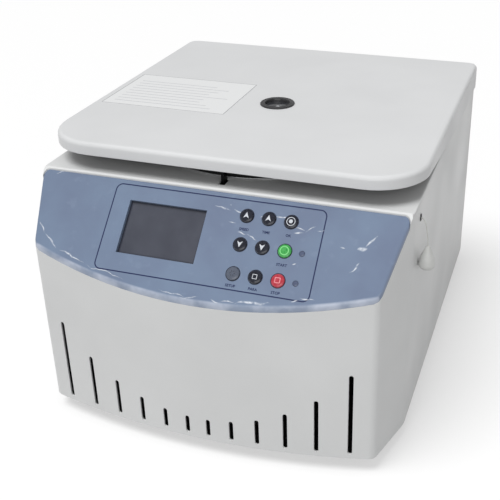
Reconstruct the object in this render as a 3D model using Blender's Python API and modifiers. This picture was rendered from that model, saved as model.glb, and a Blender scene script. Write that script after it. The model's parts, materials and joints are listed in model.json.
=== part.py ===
"""Benchtop centrifuge: a painted steel casing with a tilted fascia, a hinged lid over the chamber, and a
swing-out rotor on a rubber-mounted motor. Metres, +Z up, front at -Y, origin under the middle of the casing."""

import math

import bmesh
import bpy
from mathutils import Matrix, Vector

for old in list(bpy.data.objects):
    bpy.data.objects.remove(old)

# Clearances, cutting allowances and facets
GAP = 0.0003
OVERRUN = 0.004
MERGE = 0.000005
FACET_LENGTH = 0.010
FACET_ANGLE = math.radians(46)
FLAT_ANGLE = math.radians(0.2)
ROUND = 36
SMALL_ROUND = 18
FINE_ROUND = 12
HOLE_ROUND = 10
SMOOTH_ANGLE = math.radians(35)
QUARTER_TURN = math.radians(90)
UPRIGHT_FACING_BACK = (QUARTER_TURN, 0, 0)
UPRIGHT_FACING_SIDE = (QUARTER_TURN, 0, QUARTER_TURN)

# Casing shell
HOUSING_WIDTH = 0.430
HOUSING_DEPTH = 0.5345
LOWER_EDGE = 0.018
DECK_HEIGHT = 0.288
WALL = 0.002
DECK_RIM = 0.0035
TAPER_INSET = 0.019
FRONT_BOW = 0.0246
ARC_STEPS = 20
TAPER_LENGTH = 0.06785
FRONT_CORNER = 0.010
SHOULDER_CORNER = 0.040
REAR_CORNER = 0.006
REAR_LIP = 0.010
SIDE = HOUSING_WIDTH / 2
FRONT_CHORD = HOUSING_WIDTH - 2 * TAPER_INSET
FRONT_Y = -HOUSING_DEPTH / 2
REAR_Y = HOUSING_DEPTH / 2
CHORD_Y = FRONT_Y + FRONT_BOW
SHOULDER_Y = CHORD_Y + TAPER_LENGTH
DECK_UNDERSIDE = DECK_HEIGHT - WALL

# Front air slots, spread apart and growing towards the corners
SLOT_PAIRS = 6
SLOT_WIDTH = 0.005
SLOT_FIRST = 0.0124
SLOT_STEP = 0.0272
SLOT_SPREAD = 0.0022
SLOT_FOOT = 0.0058
SLOT_TALL = 0.0285
SLOT_ARCH = 0.218

# Base plate, its upturned rim and air slots
BASE_RIM = 0.0055
BASE_TOP = LOWER_EDGE + WALL
VENT_COUNT = 6
VENT_PITCH = 0.024
VENT_WIDTH = 0.008
VENT_LENGTH = 0.040
VENT_SETBACK = 0.06725
VENT_Y = FRONT_Y + VENT_SETBACK

# Rubber feet
FOOT_SIDE_INSET = 0.045
FOOT_FRONT_INSET = 0.07725
FOOT_REAR_INSET = 0.04725
FOOT_X = SIDE - FOOT_SIDE_INSET
FOOT_FRONT_Y = FRONT_Y + FOOT_FRONT_INSET
FOOT_REAR_Y = REAR_Y - FOOT_REAR_INSET
FOOT_TOP_RADIUS = 0.0165
FOOT_RADIUS = 0.0145
FOOT_GRIP_RADIUS = 0.0125
FOOT_CHAMFER = 0.002

# Tilted fascia, measured from the line where its face meets the casing under the lid
PANEL_TILT = math.radians(44.5)
PANEL_DROP = 0.0019
PANEL_REACH = 0.08845
PANEL_THICKNESS = 0.004
PANEL_CORNER = 0.006
PANEL_RIM = 0.0026
PANEL_TOP_Y = FRONT_Y + PANEL_REACH
PANEL_TOP_Z = DECK_HEIGHT - PANEL_DROP
SEAT_DEPTH = PANEL_THICKNESS + GAP
SEAT_WINDOW_LEFT = -0.112
SEAT_WINDOW_RIGHT = 0.122
SEAT_WINDOW_TOP = -0.012
SEAT_WINDOW_FOOT = -0.100

# Display, its lens and its module
DISPLAY_LEFT = -0.0964
DISPLAY_RIGHT = -0.0054
DISPLAY_TOP = -0.0241
DISPLAY_FOOT = -0.0845
LENS_MARGIN = 0.003
LENS_THICKNESS = 0.002
MODULE_MARGIN = 0.002
MODULE_DEPTH = 0.0092
MODULE_RECESS = 0.001

# Push buttons and indicator lenses
BUTTON_COLUMNS = (0.0403, 0.0649, 0.0895)
BUTTON_ROWS = (-0.024, -0.056, -0.088)
BUTTON_NAMES = (
    ("button_speed_up", "button_time_up", "button_ok"),
    ("button_speed_down", "button_time_down", "button_start"),
    ("button_setup", "button_parameter", "button_stop"),
)
BUTTON_RADIUS = 0.00725
BUTTON_PROUD = 0.0016
BUTTON_CROWN = 0.0009
BUTTON_LIP = 0.0013
BUTTON_FLANGE = 0.0015
BUTTON_STEM = 0.003
BUTTON_TRAVEL = 0.001
STEM_DEPTH = 0.0127
INDICATOR_U = 0.1082
INDICATOR_ROWS = (-0.0561, -0.0879)
INDICATOR_RADIUS = 0.003
INDICATOR_PROUD = 0.0008
INDICATOR_LIP = 0.0009
INDICATOR_FLANGE = 0.001

# Control board behind the fascia, on four posts
BOARD_FACE = 0.0163
BOARD_THICKNESS = 0.0016
BOARD_LEFT = -0.125
BOARD_RIGHT = 0.135
BOARD_TOP = -0.010
BOARD_FOOT = -0.104
BOARD_CORNER = 0.003
POST_RADIUS = 0.003
POST_LEFT = -0.119
POST_RIGHT = 0.129
POST_ROWS = (-0.020, -0.094)
KEY_SIZE = 0.006
CONNECTOR_WIDTH = 0.030
CONNECTOR_HEIGHT = 0.008
CONNECTOR_DEPTH = 0.009
CONNECTOR_V = -0.096

# Lid shell, with a shallow front lip and a skirt that deepens towards the hinge
LID_OVERHANG = 0.0043
LID_SETBACK = 0.0013
LID_REAR_INSET = 0.01595
LID_RISE = 0.0344
LID_WALL = 0.003
LID_RIM = 0.005
LID_FRONT_CORNER = 0.061
LID_REAR_CORNER = 0.012
LIP_HEIGHT = 0.0149
SKIRT_GAP = 0.002
RAMP_FRONT_INSET = 0.0625
RAMP_REAR_INSET = 0.1743
LID_SIDE = SIDE + LID_OVERHANG
LID_FRONT_Y = PANEL_TOP_Y + LID_SETBACK
LID_REAR_Y = REAR_Y - LID_REAR_INSET
LID_TOP = DECK_HEIGHT + LID_RISE
LID_CEILING = LID_TOP - LID_WALL
SKIRT_EDGE = DECK_HEIGHT + SKIRT_GAP
LIP_EDGE = LID_TOP - LIP_HEIGHT
BOSS_SIDE_INSET = 0.0333
BOSS_FRONT_INSET = 0.0675
BOSS_REAR_INSET = 0.0863
BOSS_RADIUS = 0.006
RAMP_FRONT_Y = LID_FRONT_Y + RAMP_FRONT_INSET
RAMP_REAR_Y = LID_REAR_Y - RAMP_REAR_INSET
BOSS_X = LID_SIDE - BOSS_SIDE_INSET
BOSS_FRONT_Y = LID_FRONT_Y + BOSS_FRONT_INSET
BOSS_REAR_Y = LID_REAR_Y - BOSS_REAR_INSET

# Chamber and rotor axis, and the bowl
CHAMBER_SHARE = 0.2769
BOWL_RADIUS = CHAMBER_SHARE * HOUSING_DEPTH
BOWL_WALL = 0.0015
BOWL_DEPTH = 0.138
BOWL_FLOOR = DECK_HEIGHT - BOWL_DEPTH
BOWL_ROUND = 0.022
FLANGE_WIDTH = 0.007
BOWL_FLANGE = BOWL_RADIUS + FLANGE_WIDTH
BOWL_HOLE = 0.024
LOCK_SETBACK = 0.019
LOCK_Y = LID_FRONT_Y + LOCK_SETBACK
LOCK_CLEARANCE = 0.0099
ROTOR_Y = LOCK_Y + LOCK_CLEARANCE + BOWL_FLANGE
DECK_OPENING = BOWL_RADIUS + BOWL_WALL + 2 * GAP
FLANGE_FOOT = DECK_HEIGHT + GAP
FLANGE_TOP = FLANGE_FOOT + BOWL_WALL

# Lid liner pressed from sheet, its dish over the bowl, and the seal
LINER_SHEET = 0.0015
LINER_REAR_INSET = 0.0553
LINER_REAR_Y = LID_REAR_Y - LINER_REAR_INSET
LINER_REAR_CORNER = 0.012
DISH_MARGIN = 0.002
DISH_RADIUS = BOWL_FLANGE + DISH_MARGIN
DISH_HEIGHT = 0.0143
LINER_HEIGHT = 0.021
SEAL_WIDTH = 0.005
SEAL_INSET = 0.0005
SEAL_BEAD = 0.0012
DISH_FACE = DECK_HEIGHT + DISH_HEIGHT
LINER_FACE = DECK_HEIGHT + LINER_HEIGHT

# Inspection window
WINDOW_X = 0.005
BEZEL_RADIUS = 0.0215
BEZEL_THICKNESS = 0.0016
BEZEL_TUBE = 0.0175
BEZEL_BORE = 0.015
BEZEL_LEDGE = 0.0015
GLASS_THICKNESS = 0.003
GLASS_SINK = 0.0015

# Hinges
HINGE_INSET = 0.065
HINGE_X = SIDE - HINGE_INSET
HINGE_BACK = 0.007
HINGE_RISE = 0.018
HINGE_Y = LID_REAR_Y - HINGE_BACK
HINGE_Z = DECK_HEIGHT + HINGE_RISE
KNUCKLE = 0.006
PIN_RADIUS = 0.0025
PIN_HALF = 0.012
ARM_HALF = 0.005
LEAF_HALF = 0.012
LEAF_LENGTH = 0.0475
LEAF_BACK = 0.0032
LEAF_THICKNESS = 0.003
LEAF_CORNER = 0.003
EAR_THICKNESS = 0.004
BRACKET_HALF = 0.013
BRACKET_FRONT = 0.0303
BRACKET_BACK = 0.0013
BRACKET_SHEET = 0.0025
BRACKET_RUN = 0.012
NOTCH_HALF = 0.014
NOTCH_RISE = 0.010

# Lid lock
STRIKER_HALF = 0.0015
STRIKER_DEPTH = 0.011
STRIKER_DROP = 0.026
STRIKER_FOOT = DECK_HEIGHT - STRIKER_DROP
STRIKER_CORNER = 0.002
STRIKER_FLANGE = 0.0025
STRIKER_FLANGE_HALF = 0.013
EYE_HALF_WIDTH = 0.0038
EYE_HALF_HEIGHT = 0.0045
BOLT_DROP = 0.0175
BOLT_Z = DECK_HEIGHT - BOLT_DROP
BOLT_RADIUS = 0.0032
BOLT_START = 0.005
BOLT_END = 0.058
BOLT_TAPER = 0.001
LOCK_LEFT = -0.020
LOCK_RIGHT = 0.030
LOCK_DEPTH = 0.015
LOCK_HEIGHT = 0.036
LOCK_FOOT = DECK_UNDERSIDE - LOCK_HEIGHT
LOCK_SLOT_HALF = 0.0022
LOCK_SLOT_DEPTH = 0.028
LOCK_FLOOR = DECK_UNDERSIDE - LOCK_SLOT_DEPTH
DECK_SLOT_HALF = 0.004
DECK_SLOT_FRONT = 0.0095
DECK_SLOT_BACK = 0.007
SOLENOID_END = 0.066
SOLENOID_RADIUS = 0.0115
SOLENOID_BORE = 0.0036

# Emergency release: a hole, a cord and a pull on the right side
RELEASE_SETBACK = 0.0165
RELEASE_DROP = 0.0185
RELEASE_Y = LOCK_Y + RELEASE_SETBACK
RELEASE_Z = DECK_HEIGHT - RELEASE_DROP
RELEASE_HOLE = 0.00325
CORD_RADIUS = 0.00065
PULL_RADIUS = 0.0092
PULL_HEIGHT = 0.027
CORD_STEPS = 3
# Steps of the cord from the middle of its hole: outwards and upwards.
CORD_STRIDES = (
    (-0.0050, -0.0024),
    (0.0010, -0.0025),
    (0.0048, -0.0060),
    (0.0070, -0.0135),
    (0.0088, -0.0245),
    (0.0095, -0.0346),
)
PULL_TOP = RELEASE_Z + CORD_STRIDES[-1][1] - GAP

# Guard ring, motor, mounts and shaft
GUARD_CLEARANCE = 0.001
GUARD_WALL = 0.004
GUARD_INNER = DECK_OPENING + GUARD_CLEARANCE
GUARD_OUTER = GUARD_INNER + GUARD_WALL
GUARD_ARCHES = 4
GUARD_ARCH_HEIGHT = 0.030
GUARD_ARCH_HALF = 0.045
MOTOR_PLATE_RADIUS = 0.100
MOTOR_PLATE_FOOT = 0.0453
MOTOR_PLATE_THICKNESS = 0.005
DAMPER_COUNT = 3
DAMPER_CIRCLE = 0.086
DAMPER_RADIUS = 0.012
DAMPER_WAIST = 0.0095
MOTOR_RADIUS = 0.060
MOTOR_CLEARANCE = 0.012
MOTOR_TOP = BOWL_FLOOR - MOTOR_CLEARANCE
MOTOR_NECK = 0.020
MOTOR_NECK_HEIGHT = 0.010
MOTOR_RIBS = 2
MOTOR_RIB_DEPTH = 0.004
SHAFT_RADIUS = 0.008
SHAFT_SEAT = 0.012
SHAFT_DROP = 0.030
BORE_CLEARANCE = 0.002
SHAFT_FOOT = MOTOR_TOP - SHAFT_SEAT
SHAFT_TOP = DECK_HEIGHT - SHAFT_DROP
MOTOR_BORE_FLOOR = SHAFT_FOOT - BORE_CLEARANCE
BOOT_FLANGE = 0.034
BOOT_WALL = 0.0015
BOOT_FOLDS = 2
BOOT_FOLD_DEPTH = 0.006
BOOT_HEIGHT = 0.030
BOOT_THROAT = 0.001

# Swing-out rotor
YOKE_RADIUS = 0.088
YOKE_HEIGHT = 0.020
YOKE_DROP = 0.037
YOKE_TOP = DECK_HEIGHT - YOKE_DROP
YOKE_FOOT = YOKE_TOP - YOKE_HEIGHT
BUCKET_COUNT = 4
BUCKET_CIRCLE = 0.062
BUCKET_SLOT_HALF = 0.0262
BUCKET_SLOT_START = 0.0325
TRUNNION_SINK = 0.008
TRUNNION_Z = YOKE_TOP - TRUNNION_SINK
TRUNNION_RADIUS = 0.004
TRUNNION_REACH = 0.0325
TRUNNION_SEAT_DEPTH = 0.0332
YOKE_RIM = 0.0015
BUCKET_RADIUS = 0.025
BUCKET_BORE = 0.022
BUCKET_FOOT = 0.078
BUCKET_HEAD = 0.014
BUCKET_FLOOR = 0.004
BUCKET_ROUND = 0.010
NUT_RADIUS = 0.016
NUT_HEIGHT = 0.0157
NUT_NECK = 0.010
NUT_BORE_DEPTH = 0.009

# Rear panel, its vents and its fan
PANEL_VENT_ROWS = 5
PANEL_VENT_PITCH = 0.012
PANEL_VENT_WIDTH = 0.090
PANEL_VENT_HEIGHT = 0.005
PANEL_VENT_INSET = 0.095
PANEL_VENT_DROP = 0.103
FAN_INSET = 0.095
PANEL_VENT_X = PANEL_VENT_INSET - SIDE
PANEL_VENT_Z = DECK_HEIGHT - PANEL_VENT_DROP
FAN_X = SIDE - FAN_INSET
FAN_Z = 0.110
FAN_SIZE = 0.080
FAN_DEPTH = 0.025
FAN_BORE = 0.037
FAN_CORNER = 0.004
FAN_HUB = 0.016
FAN_BLADES = 7
FAN_TIP_GAP = 0.0012
BLADE_CHORD = 0.014
BLADE_THICKNESS = 0.0016
BLADE_PITCH = math.radians(38)
STRUT_WIDTH = 0.005
STRUT_DEPTH = 0.0035
GRILLE_PITCH = 0.010
GRILLE_SLOT = 0.006
GRILLE_ROWS = 7

# Mains inlet and power switch
INLET_INSET = 0.050
INLET_RISE = 0.042
INLET_X = INLET_INSET - SIDE
INLET_Z = LOWER_EDGE + INLET_RISE
INLET_FLANGE_WIDTH = 0.050
INLET_FLANGE_HEIGHT = 0.026
INLET_BODY_WIDTH = 0.030
INLET_BODY_HEIGHT = 0.022
INLET_DEPTH = 0.022
INLET_WALL = 0.003
INLET_CORNER = 0.004
INLET_FLANGE = 0.0016
CONTACT_SPACING = 0.007
CONTACT_DROP = 0.003
CONTACT_WIDTH = 0.004
CONTACT_THICKNESS = 0.002
SWITCH_SPACING = 0.050
SWITCH_X = INLET_X + SWITCH_SPACING
SWITCH_Z = INLET_Z
SWITCH_FLANGE_WIDTH = 0.016
SWITCH_FLANGE_HEIGHT = 0.026
SWITCH_BODY_WIDTH = 0.0135
SWITCH_BODY_HEIGHT = 0.0225
SWITCH_WALL = 0.001
SWITCH_DEPTH = 0.016
SWITCH_CORNER = 0.0015
ROCKER_TILT = math.radians(8)
ROCKER_HALF = 0.0092
ROCKER_INSET = 0.0009
ROCKER_HOLLOW = 0.0008
ROCKER_DEPTH = 0.007
ROCKER_SINK = 0.0045

# Power board on the base plate
POWER_SIDE_INSET = 0.010
POWER_WIDTH = 0.097
POWER_DEPTH = 0.090
POWER_CLEARANCE = 0.0143
POWER_LEFT = POWER_SIDE_INSET - SIDE
POWER_RIGHT = POWER_LEFT + POWER_WIDTH
POWER_FRONT_Y = ROTOR_Y + math.sqrt(GUARD_OUTER ** 2 - POWER_RIGHT ** 2) + POWER_CLEARANCE
POWER_REAR_Y = POWER_FRONT_Y + POWER_DEPTH
POWER_BOARD_Z = 0.026
POWER_CORNER = 0.003
SINK_WIDTH = 0.060
SINK_HEIGHT = 0.045
SINK_THICKNESS = 0.005
SINK_FINS = 5
SINK_FIN_DEPTH = 0.014
CAPACITOR_RADIUS = 0.011
CAPACITOR_HEIGHT = 0.035
CAPACITOR_PITCH = 0.028

# Finishes: colour, roughness and metallic value
WHITE_PAINT = ((0.60, 0.61, 0.61), 0.45, 0.0)
LID_PLASTIC = ((0.66, 0.67, 0.67), 0.35, 0.0)
FASCIA_GREY = ((0.22, 0.27, 0.31), 0.35, 0.0)
BUTTON_DARK = ((0.012, 0.014, 0.03), 0.35, 0.0)
BUTTON_GREEN = ((0.03, 0.25, 0.08), 0.35, 0.0)
BUTTON_RED = ((0.45, 0.02, 0.02), 0.35, 0.0)
BUTTON_GREY = ((0.16, 0.18, 0.19), 0.35, 0.0)
DISPLAY_GLASS = ((0.05, 0.07, 0.09), 0.10, 0.0)
BOARD_GREEN = ((0.02, 0.12, 0.05), 0.55, 0.0)
BLACK_PLASTIC = ((0.015, 0.015, 0.016), 0.45, 0.0)
RUBBER = ((0.02, 0.02, 0.02), 0.80, 0.0)
STEEL = ((0.45, 0.45, 0.45), 0.35, 1.0)
DARK_STEEL = ((0.20, 0.20, 0.20), 0.50, 1.0)
ALUMINIUM = ((0.62, 0.62, 0.62), 0.40, 1.0)
CLEAR_GLASS = ((0.55, 0.60, 0.60), 0.05, 0.0)
LENS_GREEN = ((0.02, 0.20, 0.06), 0.20, 0.0)
PULL_PLASTIC = ((0.72, 0.72, 0.70), 0.35, 0.0)
CORD_NYLON = ((0.68, 0.68, 0.66), 0.60, 0.0)


def collection(name, hidden=False):
    """A collection of the scene, left out of renders when it only holds tools."""
    made = bpy.data.collections.new(name)
    made.hide_render = hidden
    bpy.context.scene.collection.children.link(made)
    return made


PIECES = collection("benchtop_centrifuge")
CUTTERS = collection("cutters", hidden=True)


def finish_material(name, finish):
    """The Principled material of one piece."""
    colour, roughness, metallic = finish
    made = bpy.data.materials.new(name + "_finish")
    made.use_nodes = True
    shader = made.node_tree.nodes["Principled BSDF"]
    shader.inputs["Base Color"].default_value = (*colour, 1.0)
    shader.inputs["Roughness"].default_value = roughness
    shader.inputs["Metallic"].default_value = metallic
    return made


def frame(name, at, turn=(0, 0, 0), parent=None):
    """An empty on a joint's axis or on a mounting plane, which carries pieces in its own directions."""
    empty = bpy.data.objects.new(name, None)
    empty.location = at
    empty.rotation_euler = turn
    empty.parent = parent
    PIECES.objects.link(empty)
    return empty


def piece(name, mesh, finish, at=(0, 0, 0), turn=(0, 0, 0), parent=None):
    """One sub-part as a named object with its own material."""
    made = bpy.data.objects.new(name, mesh)
    made.location = at
    made.rotation_euler = turn
    made.parent = parent
    made.data.materials.append(finish_material(name, finish))
    PIECES.objects.link(made)
    return made


def tool(name, mesh, at=(0, 0, 0), turn=(0, 0, 0), parent=None):
    """A hidden shape that cuts or joins other pieces."""
    made = bpy.data.objects.new(name, mesh)
    made.location = at
    made.rotation_euler = turn
    made.parent = parent
    made.hide_render = True
    made.display_type = "WIRE"
    CUTTERS.objects.link(made)
    return made


def combine(target, other, operation):
    """Puts a Boolean modifier on a piece."""
    modifier = target.modifiers.new(other.name, "BOOLEAN")
    modifier.operation = operation
    modifier.object = other


def cut(target, *others):
    for other in others:
        combine(target, other, "DIFFERENCE")


def fuse(target, *others):
    for other in others:
        combine(target, other, "UNION")


def mesh_of(shape, name):
    """A mesh data block from a bmesh, its faces turned outwards."""
    bmesh.ops.recalc_face_normals(shape, faces=shape.faces)
    mesh = bpy.data.meshes.new(name)
    shape.to_mesh(mesh)
    shape.free()
    return mesh


def arc_count(turn, radius):
    """How many straight pieces stand for an arc."""
    return max(math.ceil(turn / FACET_ANGLE), math.ceil(turn * radius / FACET_LENGTH))


def fillet(before, here, after, radius):
    """The points that round one corner of an outline."""
    entry = (here - before).normalized()
    leave = (after - here).normalized()
    turn = math.atan2(entry.x * leave.y - entry.y * leave.x, entry.dot(leave))
    start = here - entry * radius * math.tan(abs(turn) / 2)
    side = math.copysign(radius, turn)
    centre = start + Vector((-entry.y, entry.x)) * side
    count = arc_count(abs(turn), radius)
    swing = [Matrix.Rotation(turn * step / count, 2) for step in range(count + 1)]
    return [centre + rotation @ (start - centre) for rotation in swing]


def rounded(corners):
    """An outline's points from its corners (x, y, radius), listed anticlockwise."""
    points = []
    for index, (x, y, radius) in enumerate(corners):
        here = Vector((x, y))
        if not radius:
            points.append(here)
            continue
        before = Vector(corners[index - 1][:2])
        after = Vector(corners[(index + 1) % len(corners)][:2])
        points += fillet(before, here, after, radius)
    return points


def inset(corners, distance):
    """The same corners moved inwards by a distance, with their radii changed to match."""
    moved = []
    for index, (x, y, radius) in enumerate(corners):
        here = Vector((x, y))
        entry = (here - Vector(corners[index - 1][:2])).normalized()
        leave = (Vector(corners[(index + 1) % len(corners)][:2]) - here).normalized()
        entry_side = Vector((-entry.y, entry.x))
        leave_side = Vector((-leave.y, leave.x))
        shift = (entry_side + leave_side) * distance / (1 + entry_side.dot(leave_side))
        new_radius = max(radius - distance, 0) if radius else 0
        moved.append((here.x + shift.x, here.y + shift.y, new_radius))
    return moved


def box_corners(left, right, low, high, radius=0):
    return [(left, low, radius), (right, low, radius), (right, high, radius), (left, high, radius)]


def circle(x, y, radius, steps):
    angles = [math.tau * step / steps for step in range(steps)]
    return [Vector((x + radius * math.cos(a), y + radius * math.sin(a))) for a in angles]


def plate(thickness, rim, *holes):
    """A flat solid standing on z = 0, from the points of its rim and of its holes, by a filled 2D curve."""
    curve = bpy.data.curves.new("outline", "CURVE")
    curve.dimensions = "2D"
    curve.fill_mode = "BOTH"
    curve.extrude = thickness / 2
    for outline in (rim, *holes):
        spline = curve.splines.new("POLY")
        spline.points.add(len(outline) - 1)
        spline.use_cyclic_u = True
        for point, place in zip(spline.points, outline):
            point.co = (place.x, place.y, 0, 1)
    holder = bpy.data.objects.new("outline", curve)
    CUTTERS.objects.link(holder)
    graph = bpy.context.evaluated_depsgraph_get()
    flat = bpy.data.meshes.new_from_object(holder.evaluated_get(graph))
    bpy.data.objects.remove(holder)
    shape = bmesh.new()
    shape.from_mesh(flat)
    bmesh.ops.remove_doubles(shape, verts=shape.verts, dist=MERGE)
    bmesh.ops.dissolve_limit(shape, angle_limit=FLAT_ANGLE, verts=shape.verts, edges=shape.edges)
    bmesh.ops.translate(shape, verts=shape.verts, vec=(0, 0, thickness / 2))
    return shape


def upright(corners, bottom, top):
    """A plate over rounded corners, between two heights."""
    shape = plate(top - bottom, rounded(corners))
    bmesh.ops.translate(shape, verts=shape.verts, vec=(0, 0, bottom))
    return shape


def fascia_height(y):
    """Height of the fascia's face plane at a place from front to back."""
    return PANEL_TOP_Z + (y - PANEL_TOP_Y) * math.tan(PANEL_TILT)


def plumb(depth):
    """How far straight down a depth behind the fascia's face lies."""
    return depth / math.cos(PANEL_TILT)


def slanted(corners, bottom, top):
    """A plate over rounded corners, sheared so that both its faces follow the fascia's plane."""
    shape = upright(corners, bottom, top)
    for vertex in shape.verts:
        vertex.co.z += fascia_height(vertex.co.y)
    return shape


def round_rim(shape, up, radius, steps=2):
    """Rounds the edges round the face that looks along a direction."""
    shape.normal_update()
    direction = Vector(up).normalized()
    top = max(shape.faces, key=lambda face: (round(face.normal.dot(direction), 3), face.calc_area()))
    bmesh.ops.bevel(
        shape,
        geom=list(top.edges),
        offset=radius,
        segments=steps,
        profile=0.5,
        affect="EDGES",
        clamp_overlap=True,
    )


def block(left, right, front, back, low, high):
    """A square-edged box between six planes."""
    shape = bmesh.new()
    size = Matrix.Diagonal((right - left, back - front, high - low, 1))
    centre = Vector((left + right, front + back, low + high)) / 2
    bmesh.ops.create_cube(shape, size=1, matrix=Matrix.Translation(centre) @ size)
    return shape


def rod(start, end, radius, steps=HOLE_ROUND, end_radius=None):
    """A round bar, or a cone, between two points."""
    shape = bmesh.new()
    start = Vector(start)
    along = Vector(end) - start
    turn = along.to_track_quat("Z", "Y").to_matrix().to_4x4()
    bmesh.ops.create_cone(
        shape,
        cap_ends=True,
        segments=steps,
        radius1=radius,
        radius2=radius if end_radius is None else end_radius,
        depth=along.length,
        matrix=Matrix.Translation(start + along / 2) @ turn,
    )
    return shape


def gather(*shapes):
    """Several shapes that don't touch, as one."""
    first = shapes[0]
    for other in shapes[1:]:
        mesh = bpy.data.meshes.new("gathered")
        other.to_mesh(mesh)
        other.free()
        first.from_mesh(mesh)
    return first


def turned(name, profile, steps):
    """A profile of (radius, height) points as a mesh of edges, with the steps that a Screw modifier takes."""
    shape = bmesh.new()
    dots = [shape.verts.new((radius, 0, height)) for radius, height in profile]
    for first, second in zip(dots, dots[1:]):
        shape.edges.new((first, second))
    if profile[0][0] or profile[-1][0]:
        shape.edges.new((dots[-1], dots[0]))
    mesh = bpy.data.meshes.new(name)
    shape.to_mesh(mesh)
    shape.free()
    return mesh, steps


def spin(target, steps):
    """The Screw modifier that turns a profile round its upright axis."""
    screw = target.modifiers.new("turned", "SCREW")
    screw.steps = steps
    screw.render_steps = steps
    screw.use_merge_vertices = True
    screw.merge_threshold = MERGE
    screw.use_normal_calculate = False


def turned_piece(name, profile, steps, finish, **where):
    mesh, steps = turned(name, profile, steps)
    made = piece(name, mesh, finish, **where)
    spin(made, steps)
    return made


def quarter(centre_radius, centre_height, radius, start, end, steps=2):
    """Profile points along an arc, its angles in quarter turns from the outward direction."""
    points = []
    for step in range(steps + 1):
        angle = math.radians(90) * (start + (end - start) * step / steps)
        points.append((centre_radius + radius * math.cos(angle), centre_height + radius * math.sin(angle)))
    return points


def smooth(target):
    """Shades a round piece smooth between its sharp edges."""
    target.data.shade_smooth()
    target.data.set_sharp_from_angle(angle=SMOOTH_ANGLE)



def bow_points():
    """Corners along the bowed front, left to right, the first and last rounded."""
    half = FRONT_CHORD / 2
    radius = (half ** 2 + FRONT_BOW ** 2) / (2 * FRONT_BOW)
    reach = math.asin(half / radius)
    angles = [reach * (2 * step / ARC_STEPS - 1) for step in range(ARC_STEPS + 1)]
    points = [(radius * math.sin(a), FRONT_Y + radius * (1 - math.cos(a)), 0) for a in angles]
    points[0] = (*points[0][:2], FRONT_CORNER)
    points[-1] = (*points[-1][:2], FRONT_CORNER)
    return points


def mirrored(corners):
    return [(-x, y, radius) for x, y, radius in reversed(corners)]


def casing_corners():
    """Plan of the casing: bowed front, tapered front corners, straight sides and back."""
    right = [(SIDE, SHOULDER_Y, SHOULDER_CORNER), (SIDE, REAR_Y, REAR_CORNER)]
    return bow_points() + right + mirrored(right)


def fascia_corners():
    """Plan of the fascia: the casing's front, closed by the line under the lid's front edge."""
    taper = TAPER_INSET / TAPER_LENGTH
    right = [(SIDE - taper * (SHOULDER_Y - PANEL_TOP_Y), PANEL_TOP_Y, PANEL_CORNER)]
    return bow_points() + right + mirrored(right)


def slot_tools():
    """Capsule cutters for the front slots, whose tops follow an arc."""
    for pair in range(SLOT_PAIRS):
        x = SLOT_FIRST + SLOT_STEP * pair + SLOT_SPREAD * pair * (pair - 1) / 2
        top = LOWER_EDGE + SLOT_TALL + SLOT_ARCH - math.sqrt(SLOT_ARCH ** 2 - x ** 2)
        for side in (-1, 1):
            left = side * x - SLOT_WIDTH / 2
            corners = box_corners(left, left + SLOT_WIDTH, LOWER_EDGE + SLOT_FOOT, top, SLOT_WIDTH / 2)
            yield plate(FRONT_BOW + WALL + 2 * OVERRUN, rounded(corners))


def make_housing():
    outline = casing_corners()
    shape = upright(outline, LOWER_EDGE, DECK_HEIGHT)
    round_rim(shape, (0, 0, 1), DECK_RIM)
    housing = piece("housing", mesh_of(shape, "housing"), WHITE_PAINT)
    over = box_corners(-SIDE - OVERRUN, SIDE + OVERRUN, FRONT_Y - OVERRUN, PANEL_TOP_Y + 3 * OVERRUN)
    above = tool("above_fascia", mesh_of(slanted(over, 0, DECK_HEIGHT), "above_fascia"))
    seat_shape = slanted(inset(fascia_corners(), -GAP), -plumb(SEAT_DEPTH), DECK_HEIGHT)
    seat = tool("fascia_seat", mesh_of(seat_shape, "fascia_seat"))
    hollow_shape = upright(inset(outline, WALL), LOWER_EDGE - OVERRUN, DECK_UNDERSIDE)
    hollow = tool("housing_hollow", mesh_of(hollow_shape, "housing_hollow"))
    seat_back = slanted(over, -plumb(SEAT_DEPTH + WALL), DECK_HEIGHT)
    cut(hollow, tool("seat_back", mesh_of(seat_back, "seat_back")))
    lip = SIDE - REAR_LIP
    back = block(-lip, lip, REAR_Y - WALL - OVERRUN, REAR_Y + OVERRUN, LOWER_EDGE - OVERRUN, DECK_HEIGHT - REAR_LIP)
    back_opening = tool("back_opening", mesh_of(back, "back_opening"))
    deck = rod((0, ROTOR_Y, DECK_HEIGHT - OVERRUN), (0, ROTOR_Y, DECK_HEIGHT + OVERRUN), DECK_OPENING, ROUND)
    deck_opening = tool("deck_opening", mesh_of(deck, "deck_opening"))
    cut(housing, above, seat, hollow, back_opening, deck_opening)
    slots = tool(
        "front_slots",
        mesh_of(gather(*slot_tools()), "front_slots"),
        at=(0, CHORD_Y + WALL + OVERRUN, 0),
        turn=UPRIGHT_FACING_BACK,
    )
    striker_slot = block(
        -DECK_SLOT_HALF,
        DECK_SLOT_HALF,
        LOCK_Y - DECK_SLOT_FRONT,
        LOCK_Y + DECK_SLOT_BACK,
        DECK_UNDERSIDE - OVERRUN,
        DECK_HEIGHT + OVERRUN,
    )
    deck_slot = tool("deck_slot", mesh_of(striker_slot, "deck_slot"))
    release = rod((SIDE - OVERRUN, RELEASE_Y, RELEASE_Z), (SIDE + OVERRUN, RELEASE_Y, RELEASE_Z), RELEASE_HOLE)
    release_hole = tool("release_hole", mesh_of(release, "release_hole"))
    window = box_corners(SEAT_WINDOW_LEFT, SEAT_WINDOW_RIGHT, SEAT_WINDOW_FOOT, SEAT_WINDOW_TOP, BOARD_CORNER)
    window_shape = upright(window, -SEAT_DEPTH - WALL - OVERRUN, OVERRUN)
    seat_window = tool("seat_window", mesh_of(window_shape, "seat_window"), parent=FASCIA)
    cut(housing, slots, deck_slot, release_hole, seat_window)


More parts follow.
